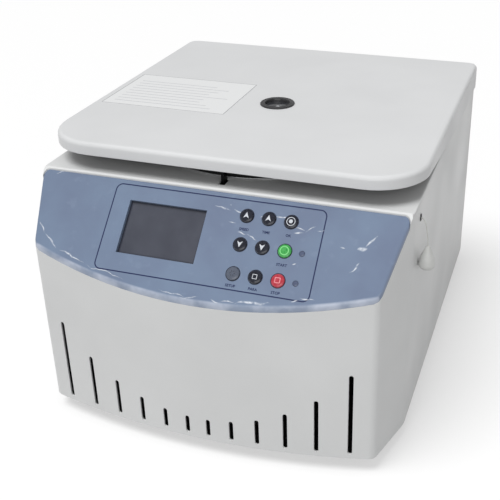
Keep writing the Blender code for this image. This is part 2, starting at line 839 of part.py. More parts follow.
def make_base_plate():
    outline = inset(casing_corners(), WALL + GAP)
    shape = upright(outline, LOWER_EDGE, LOWER_EDGE + BASE_RIM)
    base = piece("base_plate", mesh_of(shape, "base_plate"), DARK_STEEL)
    tray = upright(inset(outline, WALL), BASE_TOP, LOWER_EDGE + BASE_RIM + OVERRUN)
    vents = []
    for index in range(VENT_COUNT):
        x = (index - (VENT_COUNT - 1) / 2) * VENT_PITCH
        corners = box_corners(
            x - VENT_WIDTH / 2,
            x + VENT_WIDTH / 2,
            VENT_Y - VENT_LENGTH / 2,
            VENT_Y + VENT_LENGTH / 2,
            VENT_WIDTH / 2,
        )
        vents.append(upright(corners, LOWER_EDGE - OVERRUN, BASE_TOP + OVERRUN))
    cut(base, tool("base_tray", mesh_of(tray, "base_tray")), tool("base_vents", mesh_of(gather(*vents), "base_vents")))


def make_feet():
    top = LOWER_EDGE - GAP
    profile = [
        (0, top),
        (FOOT_TOP_RADIUS, top),
        (FOOT_RADIUS, FOOT_CHAMFER),
        (FOOT_GRIP_RADIUS, 0),
        (0, 0),
    ]
    for end, y in (("front", FOOT_FRONT_Y), ("rear", FOOT_REAR_Y)):
        for side, x in (("left", -FOOT_X), ("right", FOOT_X)):
            turned_piece(f"foot_{end}_{side}", profile, FINE_ROUND, RUBBER, at=(x, y, 0))


def rear_vents():
    """Outlines of the rear panel's louvre slots and of the fan's round grille."""
    for row in range(PANEL_VENT_ROWS):
        z = PANEL_VENT_Z + PANEL_VENT_PITCH * row
        yield box_corners(
            PANEL_VENT_X - PANEL_VENT_WIDTH / 2,
            PANEL_VENT_X + PANEL_VENT_WIDTH / 2,
            z,
            z + PANEL_VENT_HEIGHT,
            PANEL_VENT_HEIGHT / 2,
        )
    for row in range(GRILLE_ROWS):
        offset = (row - (GRILLE_ROWS - 1) / 2) * GRILLE_PITCH
        half = math.sqrt(FAN_BORE ** 2 - offset ** 2)
        low = FAN_Z + offset - GRILLE_SLOT / 2
        yield box_corners(FAN_X - half, FAN_X + half, low, low + GRILLE_SLOT, GRILLE_SLOT / 2)


REAR_PANEL_FACE = REAR_Y - WALL - GAP
REAR_PANEL_BACK = REAR_PANEL_FACE - WALL


def make_rear_panel():
    half = SIDE - REAR_CORNER - GAP
    rim = rounded(box_corners(-half, half, LOWER_EDGE + BASE_RIM + GAP, DECK_UNDERSIDE - GAP))
    inlet_half = INLET_BODY_WIDTH / 2 + GAP
    inlet_rise = INLET_BODY_HEIGHT / 2 + GAP
    inlet = box_corners(
        INLET_X - inlet_half, INLET_X + inlet_half, INLET_Z - inlet_rise, INLET_Z + inlet_rise, INLET_CORNER
    )
    switch_half = SWITCH_BODY_WIDTH / 2 + GAP
    switch_rise = SWITCH_BODY_HEIGHT / 2 + GAP
    switch = box_corners(
        SWITCH_X - switch_half, SWITCH_X + switch_half, SWITCH_Z - switch_rise, SWITCH_Z + switch_rise
    )
    holes = [rounded(corners) for corners in (*rear_vents(), inlet, switch)]
    shape = plate(WALL, rim, *holes)
    piece(
        "rear_panel",
        mesh_of(shape, "rear_panel"),
        WHITE_PAINT,
        at=(0, REAR_PANEL_FACE, 0),
        turn=UPRIGHT_FACING_BACK,
    )


FASCIA = frame("fascia_plane", (0, PANEL_TOP_Y, PANEL_TOP_Z), (PANEL_TILT, 0, 0))


def make_fascia():
    shape = slanted(fascia_corners(), -plumb(PANEL_THICKNESS), 0)
    face = Vector((0, -math.sin(PANEL_TILT), math.cos(PANEL_TILT)))
    round_rim(shape, face, PANEL_RIM)
    fascia = piece("control_panel", mesh_of(shape, "control_panel"), FASCIA_GREY)
    reach = (-PANEL_THICKNESS - OVERRUN, OVERRUN)
    display = upright(box_corners(DISPLAY_LEFT, DISPLAY_RIGHT, DISPLAY_FOOT, DISPLAY_TOP), *reach)
    holes = [display]
    for u in BUTTON_COLUMNS:
        for v in BUTTON_ROWS:
            holes.append(rod((u, v, reach[0]), (u, v, reach[1]), BUTTON_RADIUS + GAP, FINE_ROUND))
    for v in INDICATOR_ROWS:
        holes.append(rod((INDICATOR_U, v, reach[0]), (INDICATOR_U, v, reach[1]), INDICATOR_RADIUS + GAP))
    cut(fascia, tool("fascia_holes", mesh_of(gather(*holes), "fascia_holes"), parent=FASCIA))


def make_display():
    lens = box_corners(
        DISPLAY_LEFT - LENS_MARGIN,
        DISPLAY_RIGHT + LENS_MARGIN,
        DISPLAY_FOOT - LENS_MARGIN,
        DISPLAY_TOP + LENS_MARGIN,
        LENS_THICKNESS,
    )
    lens_back = -SEAT_DEPTH - LENS_THICKNESS
    piece(
        "display_window", mesh_of(upright(lens, lens_back, -SEAT_DEPTH), "display_window"), DISPLAY_GLASS, parent=FASCIA
    )
    body = box_corners(
        DISPLAY_LEFT - MODULE_MARGIN,
        DISPLAY_RIGHT + MODULE_MARGIN,
        DISPLAY_FOOT - MODULE_MARGIN,
        DISPLAY_TOP + MODULE_MARGIN,
        MODULE_MARGIN / 2,
    )
    module_face = lens_back - GAP
    shape = upright(body, module_face - MODULE_DEPTH, module_face)
    module = piece("display_module", mesh_of(shape, "display_module"), BLACK_PLASTIC, parent=FASCIA)
    view = box_corners(DISPLAY_LEFT, DISPLAY_RIGHT, DISPLAY_FOOT, DISPLAY_TOP)
    recess = upright(view, module_face - MODULE_RECESS, module_face + OVERRUN)
    cut(module, tool("display_recess", mesh_of(recess, "display_recess"), parent=FASCIA))


def make_control_board():
    face = -BOARD_FACE
    outline = box_corners(BOARD_LEFT, BOARD_RIGHT, BOARD_FOOT, BOARD_TOP, BOARD_CORNER)
    shape = upright(outline, face - BOARD_THICKNESS, face)
    board = piece("control_board", mesh_of(shape, "control_board"), BOARD_GREEN, parent=FASCIA)
    root = face - BOARD_THICKNESS / 2
    post_top = -SEAT_DEPTH - WALL - GAP
    parts = []
    for u in (POST_LEFT, POST_RIGHT):
        for v in POST_ROWS:
            parts.append(rod((u, v, root), (u, v, post_top), POST_RADIUS))
    key_top = -STEM_DEPTH - BUTTON_TRAVEL - GAP
    half = KEY_SIZE / 2
    for u in BUTTON_COLUMNS:
        for v in BUTTON_ROWS:
            parts.append(block(u - half, u + half, v - half, v + half, root, key_top))
    back = face - BOARD_THICKNESS - CONNECTOR_DEPTH
    low = CONNECTOR_V - CONNECTOR_HEIGHT / 2
    wide = CONNECTOR_WIDTH / 2
    parts.append(block(-wide, wide, low, low + CONNECTOR_HEIGHT, back, root))
    fuse(board, tool("board_parts", mesh_of(gather(*parts), "board_parts"), parent=FASCIA))


def make_buttons():
    radius = BUTTON_RADIUS
    profile = [
        (0, BUTTON_PROUD + BUTTON_CROWN),
        (radius - BUTTON_CROWN, BUTTON_PROUD),
        (radius, BUTTON_PROUD - BUTTON_CROWN),
        (radius, -SEAT_DEPTH),
        (radius + BUTTON_LIP, -SEAT_DEPTH),
        (radius + BUTTON_LIP, -SEAT_DEPTH - BUTTON_FLANGE),
        (BUTTON_STEM, -SEAT_DEPTH - BUTTON_FLANGE),
        (BUTTON_STEM, -STEM_DEPTH),
        (0, -STEM_DEPTH),
    ]
    finishes = {"button_start": BUTTON_GREEN, "button_stop": BUTTON_RED, "button_setup": BUTTON_GREY}
    for v, names in zip(BUTTON_ROWS, BUTTON_NAMES):
        for u, name in zip(BUTTON_COLUMNS, names):
            finish = finishes.get(name, BUTTON_DARK)
            turned_piece(name, profile, FINE_ROUND, finish, at=(u, v, 0), parent=FASCIA)


def make_indicators():
    profile = [
        (0, INDICATOR_PROUD),
        (INDICATOR_RADIUS - INDICATOR_PROUD, INDICATOR_PROUD),
        (INDICATOR_RADIUS, 0),
        (INDICATOR_RADIUS, -SEAT_DEPTH),
        (INDICATOR_RADIUS + INDICATOR_LIP, -SEAT_DEPTH),
        (INDICATOR_RADIUS + INDICATOR_LIP, -SEAT_DEPTH - INDICATOR_FLANGE),
        (0, -SEAT_DEPTH - INDICATOR_FLANGE),
    ]
    for name, v in zip(("indicator_mode", "indicator_run"), INDICATOR_ROWS):
        turned_piece(name, profile, HOLE_ROUND, LENS_GREEN, at=(INDICATOR_U, v, 0), parent=FASCIA)


LID = frame("lid_hinge_axis", (0, HINGE_Y, HINGE_Z))


def from_hinge(x=0, y=0, z=0):
    """A place on the bench as the lid's hinge frame gives it."""
    return (x, y - HINGE_Y, z - HINGE_Z)


def lid_corners():
    right = [(LID_SIDE, LID_FRONT_Y, LID_FRONT_CORNER), (LID_SIDE, LID_REAR_Y, LID_REAR_CORNER)]
    return mirrored(right)[1:] + right + mirrored(right)[:1]


def boss_places():
    return [(side * BOSS_X, y) for side in (-1, 1) for y in (BOSS_FRONT_Y, BOSS_REAR_Y)]


def make_lid_shell():
    shape = upright(lid_corners(), SKIRT_EDGE, LID_TOP)
    round_rim(shape, (0, 0, 1), LID_RIM, 3)
    lid = piece("lid_shell", mesh_of(shape, "lid_shell"), LID_PLASTIC, at=from_hinge(), parent=LID)
    hollow = upright(inset(lid_corners(), LID_WALL), SKIRT_EDGE - OVERRUN, LID_CEILING)
    slope = (RAMP_REAR_Y - RAMP_FRONT_Y) / (LIP_EDGE - SKIRT_EDGE)
    under = [
        (LID_FRONT_Y - OVERRUN, SKIRT_EDGE - OVERRUN, 0),
        (RAMP_REAR_Y + slope * OVERRUN, SKIRT_EDGE - OVERRUN, 0),
        (RAMP_FRONT_Y, LIP_EDGE, 0),
        (LID_FRONT_Y - OVERRUN, LIP_EDGE, 0),
    ]
    reach = LID_SIDE + OVERRUN
    ramp = tool(
        "skirt_ramp",
        mesh_of(plate(2 * reach, rounded(under)), "skirt_ramp"),
        at=(-reach, 0, 0),
        turn=UPRIGHT_FACING_SIDE,
    )
    cut(lid, tool("lid_hollow", mesh_of(hollow, "lid_hollow")), ramp)
    notches = []
    for side in (-1, 1):
        x = side * HINGE_X
        notches.append(
            block(
                x - NOTCH_HALF,
                x + NOTCH_HALF,
                LID_REAR_Y - LID_WALL - OVERRUN,
                LID_REAR_Y + OVERRUN,
                SKIRT_EDGE - OVERRUN,
                HINGE_Z + NOTCH_RISE,
            )
        )
    bore = rod((WINDOW_X, ROTOR_Y, LID_CEILING - OVERRUN), (WINDOW_X, ROTOR_Y, LID_TOP + OVERRUN), BEZEL_TUBE + GAP, ROUND)
    cut(lid, tool("lid_openings", mesh_of(gather(*notches, bore), "lid_openings")))
    bosses = []
    for x, y in boss_places():
        foot = LINER_FACE + LINER_SHEET + GAP
        bosses.append(rod((x, y, foot), (x, y, LID_CEILING + LID_WALL / 2), BOSS_RADIUS))
    fuse(lid, tool("lid_bosses", mesh_of(gather(*bosses), "lid_bosses")))


def make_lid_liner():
    edge = inset(lid_corners(), LID_WALL + GAP)
    front, rear = edge[1], (edge[2][0], LINER_REAR_Y, LINER_REAR_CORNER)
    outline = [edge[0], front, rear, (-rear[0], rear[1], rear[2])]
    shape = upright(outline, LINER_FACE, LINER_FACE + LINER_SHEET)
    liner = piece("lid_liner", mesh_of(shape, "lid_liner"), STEEL, at=from_hinge(), parent=LID)
    middle = (0, ROTOR_Y)
    dish = rod((*middle, DISH_FACE), (*middle, LINER_FACE + LINER_SHEET), DISH_RADIUS, ROUND)
    fuse(liner, tool("liner_dish", mesh_of(dish, "liner_dish")))
    basin_floor = DISH_FACE + LINER_SHEET
    basin = rod((*middle, basin_floor), (*middle, LINER_FACE + OVERRUN), DISH_RADIUS - LINER_SHEET, ROUND)
    hole_radius = BEZEL_TUBE + GAP
    hole = rod((WINDOW_X, ROTOR_Y, DISH_FACE - OVERRUN), (WINDOW_X, ROTOR_Y, basin_floor + OVERRUN), hole_radius, ROUND)
    slot = block(
        -STRIKER_HALF - 2 * GAP,
        STRIKER_HALF + 2 * GAP,
        LOCK_Y - STRIKER_DEPTH / 2 - 2 * GAP,
        LOCK_Y + STRIKER_DEPTH / 2 + 2 * GAP,
        LINER_FACE - OVERRUN,
        LINER_FACE + OVERRUN,
    )
    cut(liner, tool("liner_basin", mesh_of(basin, "liner_basin")))
    cut(liner, tool("liner_holes", mesh_of(gather(hole, slot), "liner_holes")))


def make_lid_seal():
    outer = BOWL_FLANGE - SEAL_INSET
    inner = outer - SEAL_WIDTH
    middle = (outer + inner) / 2
    top = DISH_FACE - GAP
    foot = FLANGE_TOP + GAP
    profile = [
        (outer, top),
        (outer, foot + SEAL_BEAD),
        (middle, foot),
        (inner, foot + SEAL_BEAD),
        (inner, top),
    ]
    turned_piece("lid_seal", profile, ROUND, RUBBER, at=from_hinge(y=ROTOR_Y), parent=LID)


def make_window():
    face = LID_TOP + GAP + BEZEL_THICKNESS
    glass_top = LID_TOP - GLASS_SINK
    ledge = glass_top - GLASS_THICKNESS - GAP
    profile = [
        (BEZEL_BORE, face),
        (BEZEL_RADIUS - BEZEL_THICKNESS / 2, face),
        (BEZEL_RADIUS, face - BEZEL_THICKNESS / 2),
        (BEZEL_RADIUS, LID_TOP + GAP),
        (BEZEL_TUBE, LID_TOP + GAP),
        (BEZEL_TUBE, DISH_FACE),
        (BEZEL_BORE - BEZEL_LEDGE, DISH_FACE),
        (BEZEL_BORE - BEZEL_LEDGE, ledge),
        (BEZEL_BORE, ledge),
    ]
    place = from_hinge(WINDOW_X, ROTOR_Y)
    turned_piece("window_bezel", profile, ROUND, BLACK_PLASTIC, at=place, parent=LID)
    glass = [(0, glass_top), (BEZEL_BORE - GAP, glass_top), (BEZEL_BORE - GAP, ledge + GAP), (0, ledge + GAP)]
    turned_piece("lid_window", glass, SMALL_ROUND, CLEAR_GLASS, at=place, parent=LID)


def hinge_arm_shape():
    """The arm's ear in profile and its leaf under the lid, from the hinge axis."""
    leaf_top = LID_CEILING - GAP - HINGE_Z
    leaf_foot = leaf_top - LEAF_THICKNESS
    ear = [
        (-KNUCKLE, -KNUCKLE, KNUCKLE - GAP),
        (KNUCKLE, -KNUCKLE, KNUCKLE - GAP),
        (KNUCKLE, KNUCKLE - GAP, 0),
        (LEAF_BACK, leaf_foot, 0),
        (LEAF_BACK, leaf_top - LEAF_THICKNESS / 3, 0),
        (-KNUCKLE, leaf_top - LEAF_THICKNESS / 3, 0),
    ]
    hole = circle(0, 0, PIN_RADIUS + GAP, HOLE_ROUND)
    leaf = box_corners(-LEAF_HALF, LEAF_HALF, LEAF_BACK - LEAF_LENGTH, LEAF_BACK, LEAF_CORNER)
    return plate(2 * ARM_HALF, rounded(ear), hole), upright(leaf, leaf_foot, leaf_top)


def make_hinges():
    bracket_foot = GAP - HINGE_RISE
    ear = [
        (-BRACKET_RUN, bracket_foot + BRACKET_SHEET / 2, 0),
        (-BRACKET_BACK, bracket_foot + BRACKET_SHEET / 2, 0),
        (KNUCKLE, -KNUCKLE, KNUCKLE),
        (KNUCKLE, KNUCKLE, KNUCKLE),
        (-KNUCKLE, KNUCKLE, KNUCKLE),
    ]
    foot = box_corners(-BRACKET_HALF, BRACKET_HALF, -BRACKET_FRONT, -BRACKET_BACK, LEAF_CORNER / 2)
    for side, x in (("left", -HINGE_X), ("right", HINGE_X)):
        ear_shape, leaf = hinge_arm_shape()
        arm = piece(
            f"hinge_arm_{side}",
            mesh_of(ear_shape, "hinge_arm"),
            STEEL,
            at=(x - ARM_HALF, 0, 0),
            turn=UPRIGHT_FACING_SIDE,
            parent=LID,
        )
        fuse(arm, tool(f"arm_leaf_{side}", mesh_of(leaf, "arm_leaf"), at=(x, 0, 0), parent=LID))
        base = upright(foot, bracket_foot, bracket_foot + BRACKET_SHEET)
        bracket = piece(
            f"hinge_bracket_{side}", mesh_of(base, "hinge_bracket"), STEEL, at=(x, HINGE_Y, HINGE_Z)
        )
        for edge, start in (("inner", ARM_HALF + GAP), ("outer", -ARM_HALF - GAP - EAR_THICKNESS)):
            hole = circle(0, 0, PIN_RADIUS + GAP, HOLE_ROUND)
            shape = plate(EAR_THICKNESS, rounded(ear), hole)
            fuse(
                bracket,
                tool(
                    f"bracket_ear_{side}_{edge}",
                    mesh_of(shape, "bracket_ear"),
                    at=(x + start, HINGE_Y, HINGE_Z),
                    turn=UPRIGHT_FACING_SIDE,
                ),
            )
        pin = rod((-PIN_HALF, 0, 0), (PIN_HALF, 0, 0), PIN_RADIUS)
        piece(f"hinge_pin_{side}", mesh_of(pin, "hinge_pin"), STEEL, at=(x, HINGE_Y, HINGE_Z))


def make_striker():
    top = LID_CEILING - GAP
    front = LOCK_Y - STRIKER_DEPTH / 2
    back = LOCK_Y + STRIKER_DEPTH / 2
    tongue = [
        (front, STRIKER_FOOT, STRIKER_CORNER),
        (back, STRIKER_FOOT, STRIKER_CORNER),
        (back, top - STRIKER_FLANGE / 2, 0),
        (front, top - STRIKER_FLANGE / 2, 0),
    ]
    eye = box_corners(
        LOCK_Y - EYE_HALF_WIDTH,
        LOCK_Y + EYE_HALF_WIDTH,
        BOLT_Z - EYE_HALF_HEIGHT,
        BOLT_Z + EYE_HALF_HEIGHT,
        EYE_HALF_WIDTH / 2,
    )
    shape = plate(2 * STRIKER_HALF, rounded(tongue), rounded(eye))
    striker = piece(
        "lid_striker",
        mesh_of(shape, "lid_striker"),
        STEEL,
        at=from_hinge(-STRIKER_HALF),
        turn=UPRIGHT_FACING_SIDE,
        parent=LID,
    )
    pad = box_corners(-STRIKER_FLANGE_HALF, STRIKER_FLANGE_HALF, front, back, STRIKER_CORNER)
    flange = upright(pad, top - STRIKER_FLANGE, top)
    fuse(striker, tool("striker_flange", mesh_of(flange, "striker_flange")))


def make_lock():
    front = LOCK_Y - LOCK_DEPTH / 2
    corners = box_corners(LOCK_LEFT, LOCK_RIGHT, front, front + LOCK_DEPTH, STRIKER_CORNER)
    shape = upright(corners, LOCK_FOOT, DECK_UNDERSIDE - GAP)
    body = piece("lock_body", mesh_of(shape, "lock_body"), BLACK_PLASTIC)
    slot = block(
        -LOCK_SLOT_HALF,
        LOCK_SLOT_HALF,
        front - OVERRUN,
        front + LOCK_DEPTH + OVERRUN,
        LOCK_FLOOR,
        DECK_HEIGHT,
    )
    bore = rod(
        (LOCK_LEFT - OVERRUN, LOCK_Y, BOLT_Z), (LOCK_RIGHT + OVERRUN, LOCK_Y, BOLT_Z), BOLT_RADIUS + GAP, FINE_ROUND
    )
    cut(body, tool("striker_way", mesh_of(slot, "striker_way")), tool("bolt_way", mesh_of(bore, "bolt_way")))
    length = BOLT_END - BOLT_START
    bolt = [
        (0, length),
        (BOLT_RADIUS, length),
        (BOLT_RADIUS, BOLT_TAPER),
        (BOLT_RADIUS - BOLT_TAPER, 0),
        (0, 0),
    ]
    turned_piece("lock_bolt", bolt, HOLE_ROUND, STEEL, at=(BOLT_START, LOCK_Y, BOLT_Z), turn=(0, QUARTER_TURN, 0))
    far = SOLENOID_END - LOCK_RIGHT
    coil = [
        (SOLENOID_BORE, far),
        (SOLENOID_RADIUS - BOLT_TAPER, far),
        (SOLENOID_RADIUS, far - BOLT_TAPER),
        (SOLENOID_RADIUS, GAP),
        (SOLENOID_BORE, GAP),
    ]
    turned_piece(
        "lock_solenoid", coil, FINE_ROUND, DARK_STEEL, at=(LOCK_RIGHT, LOCK_Y, BOLT_Z), turn=(0, QUARTER_TURN, 0)
    )


def make_bowl():
    outer = BOWL_RADIUS + BOWL_WALL
    floor_foot = BOWL_FLOOR - BOWL_WALL
    outer_round = quarter(BOWL_RADIUS - BOWL_ROUND, BOWL_FLOOR + BOWL_ROUND, BOWL_ROUND + BOWL_WALL, 0, -1)
    inner_round = quarter(BOWL_RADIUS - BOWL_ROUND, BOWL_FLOOR + BOWL_ROUND, BOWL_ROUND, -1, 0)
    profile = [
        (BOWL_RADIUS, FLANGE_TOP),
        (BOWL_FLANGE, FLANGE_TOP),
        (BOWL_FLANGE, FLANGE_FOOT),
        (outer, FLANGE_FOOT),
        *outer_round,
        (BOWL_HOLE, floor_foot),
        (BOWL_HOLE, BOWL_FLOOR),
        *inner_round,
    ]
    turned_piece("chamber_bowl", profile, ROUND, STEEL, at=(0, ROTOR_Y, 0))


def make_guard():
    inner, outer = GUARD_INNER, GUARD_OUTER
    foot = BASE_TOP + GAP
    profile = [
        (inner, DECK_UNDERSIDE - GAP),
        (outer, DECK_UNDERSIDE - GAP),
        (outer, foot),
        (inner, foot),
    ]
    guard = turned_piece("chamber_guard", profile, ROUND, DARK_STEEL, at=(0, ROTOR_Y, 0))
    for index in range(GUARD_ARCHES // 2):
        arch = box_corners(-GUARD_ARCH_HALF, GUARD_ARCH_HALF, foot - OVERRUN, foot + GUARD_ARCH_HEIGHT)
        shape = plate(2 * (outer + OVERRUN), rounded(arch))
        bmesh.ops.translate(shape, verts=shape.verts, vec=(0, 0, -outer - OVERRUN))
        turn = (QUARTER_TURN, 0, QUARTER_TURN * index)
        cut(guard, tool(f"guard_arch_{index}", mesh_of(shape, "guard_arch"), at=(0, ROTOR_Y, 0), turn=turn))


def make_motor_mounts():
    foot = MOTOR_PLATE_FOOT
    plate_shape = plate(MOTOR_PLATE_THICKNESS, circle(0, 0, MOTOR_PLATE_RADIUS, SMALL_ROUND))
    piece("motor_plate", mesh_of(plate_shape, "motor_plate"), STEEL, at=(0, ROTOR_Y, foot))
    low, high = BASE_TOP + GAP, foot - GAP
    profile = [
        (0, high),
        (DAMPER_RADIUS, high),
        (DAMPER_WAIST, (low + high) / 2),
        (DAMPER_RADIUS, low),
        (0, low),
    ]
    for index in range(DAMPER_COUNT):
        angle = QUARTER_TURN + math.tau * index / DAMPER_COUNT
        place = (DAMPER_CIRCLE * math.cos(angle), ROTOR_Y + DAMPER_CIRCLE * math.sin(angle), 0)
        turned_piece(f"damper_{index + 1}", profile, HOLE_ROUND, RUBBER, at=place)


def make_motor():
    foot = MOTOR_PLATE_FOOT + MOTOR_PLATE_THICKNESS + GAP
    shoulder = MOTOR_TOP - MOTOR_NECK_HEIGHT
    pitch = (shoulder - foot) / (2 * MOTOR_RIBS + 1)
    bore = SHAFT_RADIUS + GAP + GAP / 3
    profile = [(bore, MOTOR_TOP), (MOTOR_NECK, MOTOR_TOP), (MOTOR_NECK, shoulder), (MOTOR_RADIUS, shoulder)]
    for rib in range(MOTOR_RIBS):
        high = shoulder - pitch * (2 * rib + 1)
        waist = MOTOR_RADIUS - MOTOR_RIB_DEPTH
        profile += [(MOTOR_RADIUS, high), (waist, high), (waist, high - pitch), (MOTOR_RADIUS, high - pitch)]
    profile += [(MOTOR_RADIUS, foot), (0, foot), (0, MOTOR_BORE_FLOOR), (bore, MOTOR_BORE_FLOOR)]
    mesh, steps = turned("motor", profile, SMALL_ROUND)
    motor = piece("motor", mesh, DARK_STEEL, at=(0, ROTOR_Y, 0))
    spin(motor, steps)


def make_boot():
    bore = SHAFT_RADIUS + BOOT_THROAT
    foot = BOWL_FLOOR + GAP
    rise = (BOOT_HEIGHT - 2 * BOOT_WALL) / (2 * BOOT_FOLDS)
    top = foot + BOOT_HEIGHT
    outer = [(bore + BOOT_WALL, top)]
    inner = [(bore, top)]
    for fold in range(2 * BOOT_FOLDS):
        reach = BOOT_FOLD_DEPTH if fold % 2 == 0 else 0
        outer.append((bore + BOOT_WALL + reach, top - rise * (fold + 1)))
        inner.append((bore + reach, top - rise * (fold + 1)))
    profile = [
        *outer,
        (BOOT_FLANGE, foot + BOOT_WALL),
        (BOOT_FLANGE, foot),
        (bore, foot),
        *reversed(inner),
    ]
    turned_piece("shaft_boot", profile, FINE_ROUND, RUBBER, at=(0, ROTOR_Y, 0))


ROTOR = frame("rotor_axis", (0, ROTOR_Y, 0))


def make_shaft():
    profile = [(0, SHAFT_TOP), (SHAFT_RADIUS, SHAFT_TOP), (SHAFT_RADIUS, SHAFT_FOOT), (0, SHAFT_FOOT)]
    turned_piece("drive_shaft", profile, SMALL_ROUND, STEEL, parent=ROTOR)


def make_yoke():
    bore = SHAFT_RADIUS + GAP
    profile = [
        (bore, YOKE_TOP),
        (YOKE_RADIUS - YOKE_RIM, YOKE_TOP),
        (YOKE_RADIUS, YOKE_TOP - YOKE_RIM),
        (YOKE_RADIUS, YOKE_FOOT + YOKE_RIM),
        (YOKE_RADIUS - YOKE_RIM, YOKE_FOOT),
        (bore, YOKE_FOOT),
    ]
    yoke = turned_piece("rotor_yoke", profile, ROUND, ALUMINIUM, parent=ROTOR)
    half = BUCKET_SLOT_HALF
    far = YOKE_RADIUS + OVERRUN
    low, high = YOKE_FOOT - OVERRUN, YOKE_TOP + OVERRUN
    seat = TRUNNION_RADIUS + GAP
    for index in range(BUCKET_COUNT):
        turn = (0, 0, math.tau * index / BUCKET_COUNT)
        gap = upright(box_corners(BUCKET_SLOT_START, far, -half, half), low, high)
        cut(yoke, tool(f"bucket_gap_{index}", mesh_of(gap, "bucket_gap"), turn=turn, parent=ROTOR))
        notch = [
            (BUCKET_CIRCLE - seat, TRUNNION_Z - seat, seat - GAP / 3),
            (BUCKET_CIRCLE + seat, TRUNNION_Z - seat, seat - GAP / 3),
            (BUCKET_CIRCLE + seat, high, 0),
            (BUCKET_CIRCLE - seat, high, 0),
        ]
        shape = plate(2 * TRUNNION_SEAT_DEPTH, rounded(notch))
        bmesh.ops.translate(shape, verts=shape.verts, vec=(0, 0, -TRUNNION_SEAT_DEPTH))
        bmesh.ops.rotate(shape, verts=shape.verts, matrix=Matrix.Rotation(QUARTER_TURN, 3, "X"))
        cut(yoke, tool(f"trunnion_seat_{index}", mesh_of(shape, "trunnion_seat"), turn=turn, parent=ROTOR))


def make_buckets():
    outer_round = quarter(BUCKET_RADIUS - BUCKET_ROUND, BUCKET_ROUND - BUCKET_FOOT, BUCKET_ROUND, 0, -1)
    floor = BUCKET_FLOOR - BUCKET_FOOT
    cup = [
        (BUCKET_BORE, BUCKET_HEAD),
        (BUCKET_RADIUS, BUCKET_HEAD),
        *outer_round,
        (0, -BUCKET_FOOT),
        (0, floor),
        (BUCKET_BORE - BUCKET_FLOOR, floor),
        (BUCKET_BORE, floor + BUCKET_FLOOR),
    ]
    root = (BUCKET_BORE + BUCKET_RADIUS) / 2
    for index in range(BUCKET_COUNT):
        angle = math.tau * index / BUCKET_COUNT
        place = (BUCKET_CIRCLE * math.cos(angle), BUCKET_CIRCLE * math.sin(angle), TRUNNION_Z)
        swing = frame(f"bucket_{index + 1}_axis", place, (0, 0, angle), ROTOR)
        mesh, steps = turned("bucket", cup, SMALL_ROUND)
        bucket = piece(f"bucket_{index + 1}", mesh, ALUMINIUM, parent=swing)
        spin(bucket, steps)
        pins = [rod((0, side * root, 0), (0, side * TRUNNION_REACH, 0), TRUNNION_RADIUS) for side in (-1, 1)]
        fuse(bucket, tool(f"trunnions_{index + 1}", mesh_of(gather(*pins), "trunnions"), parent=swing))


def make_rotor_nut():
    foot = YOKE_TOP + GAP
    bore = SHAFT_RADIUS + GAP
    profile = [
        (0, foot + NUT_HEIGHT),
        (NUT_NECK, foot + NUT_HEIGHT),
        (NUT_RADIUS, foot + NUT_HEIGHT / 2),
        (NUT_RADIUS, foot),
        (bore, foot),
        (bore, foot + NUT_BORE_DEPTH),
        (0, foot + NUT_BORE_DEPTH),
    ]
    turned_piece("rotor_nut", profile, FINE_ROUND, DARK_STEEL, parent=ROTOR)


FAN = frame("fan_axis", (FAN_X, REAR_PANEL_BACK - GAP, FAN_Z), UPRIGHT_FACING_BACK)


def make_fan():
    half = FAN_SIZE / 2
    outline = rounded(box_corners(-half, half, -half, half, FAN_CORNER))
    shape = plate(FAN_DEPTH, outline, circle(0, 0, FAN_BORE, ROUND // 2))
    fan = piece("fan_frame", mesh_of(shape, "fan_frame"), BLACK_PLASTIC, parent=FAN)
    wide = STRUT_WIDTH / 2
    long = (FAN_BORE + half) / 2
    low, high = FAN_DEPTH - STRUT_DEPTH, FAN_DEPTH
    across = block(-long, long, -wide, wide, low, high)
    upwards = block(-wide, wide, -long, long, low, high - STRUT_DEPTH / 4)
    centre = rod((0, 0, low), (0, 0, high + STRUT_DEPTH / 4), FAN_HUB, FINE_ROUND)
    for name, strut in (("fan_strut_1", across), ("fan_strut_2", upwards), ("fan_mount", centre)):
        fuse(fan, tool(name, mesh_of(strut, name), parent=FAN))
    hub_back = low - GAP
    hub_front = BLADE_THICKNESS
    hub = rod((0, 0, hub_front), (0, 0, hub_back), FAN_HUB, FINE_ROUND)
    impeller = piece("fan_impeller", mesh_of(hub, "fan_impeller"), BLACK_PLASTIC, parent=FAN)
    tip = FAN_BORE - FAN_TIP_GAP
    blades = []
    for index in range(FAN_BLADES):
        blade = block(
            FAN_HUB - BLADE_THICKNESS, tip, -BLADE_CHORD / 2, BLADE_CHORD / 2, -BLADE_THICKNESS / 2, BLADE_THICKNESS / 2
        )
        twist = Matrix.Rotation(BLADE_PITCH, 3, "X")
        swing = Matrix.Rotation(math.tau * index / FAN_BLADES, 3, "Z")
        bmesh.ops.rotate(blade, verts=blade.verts, matrix=swing @ twist)
        bmesh.ops.translate(blade, verts=blade.verts, vec=(0, 0, (hub_front + hub_back) / 2))
        blades.append(blade)
    fuse(impeller, tool("fan_blades", mesh_of(gather(*blades), "fan_blades"), parent=FAN))


INLET = frame("inlet_face", (INLET_X, REAR_PANEL_FACE, INLET_Z), UPRIGHT_FACING_BACK)
SWITCH = frame("switch_axis", (SWITCH_X, REAR_PANEL_FACE, SWITCH_Z))


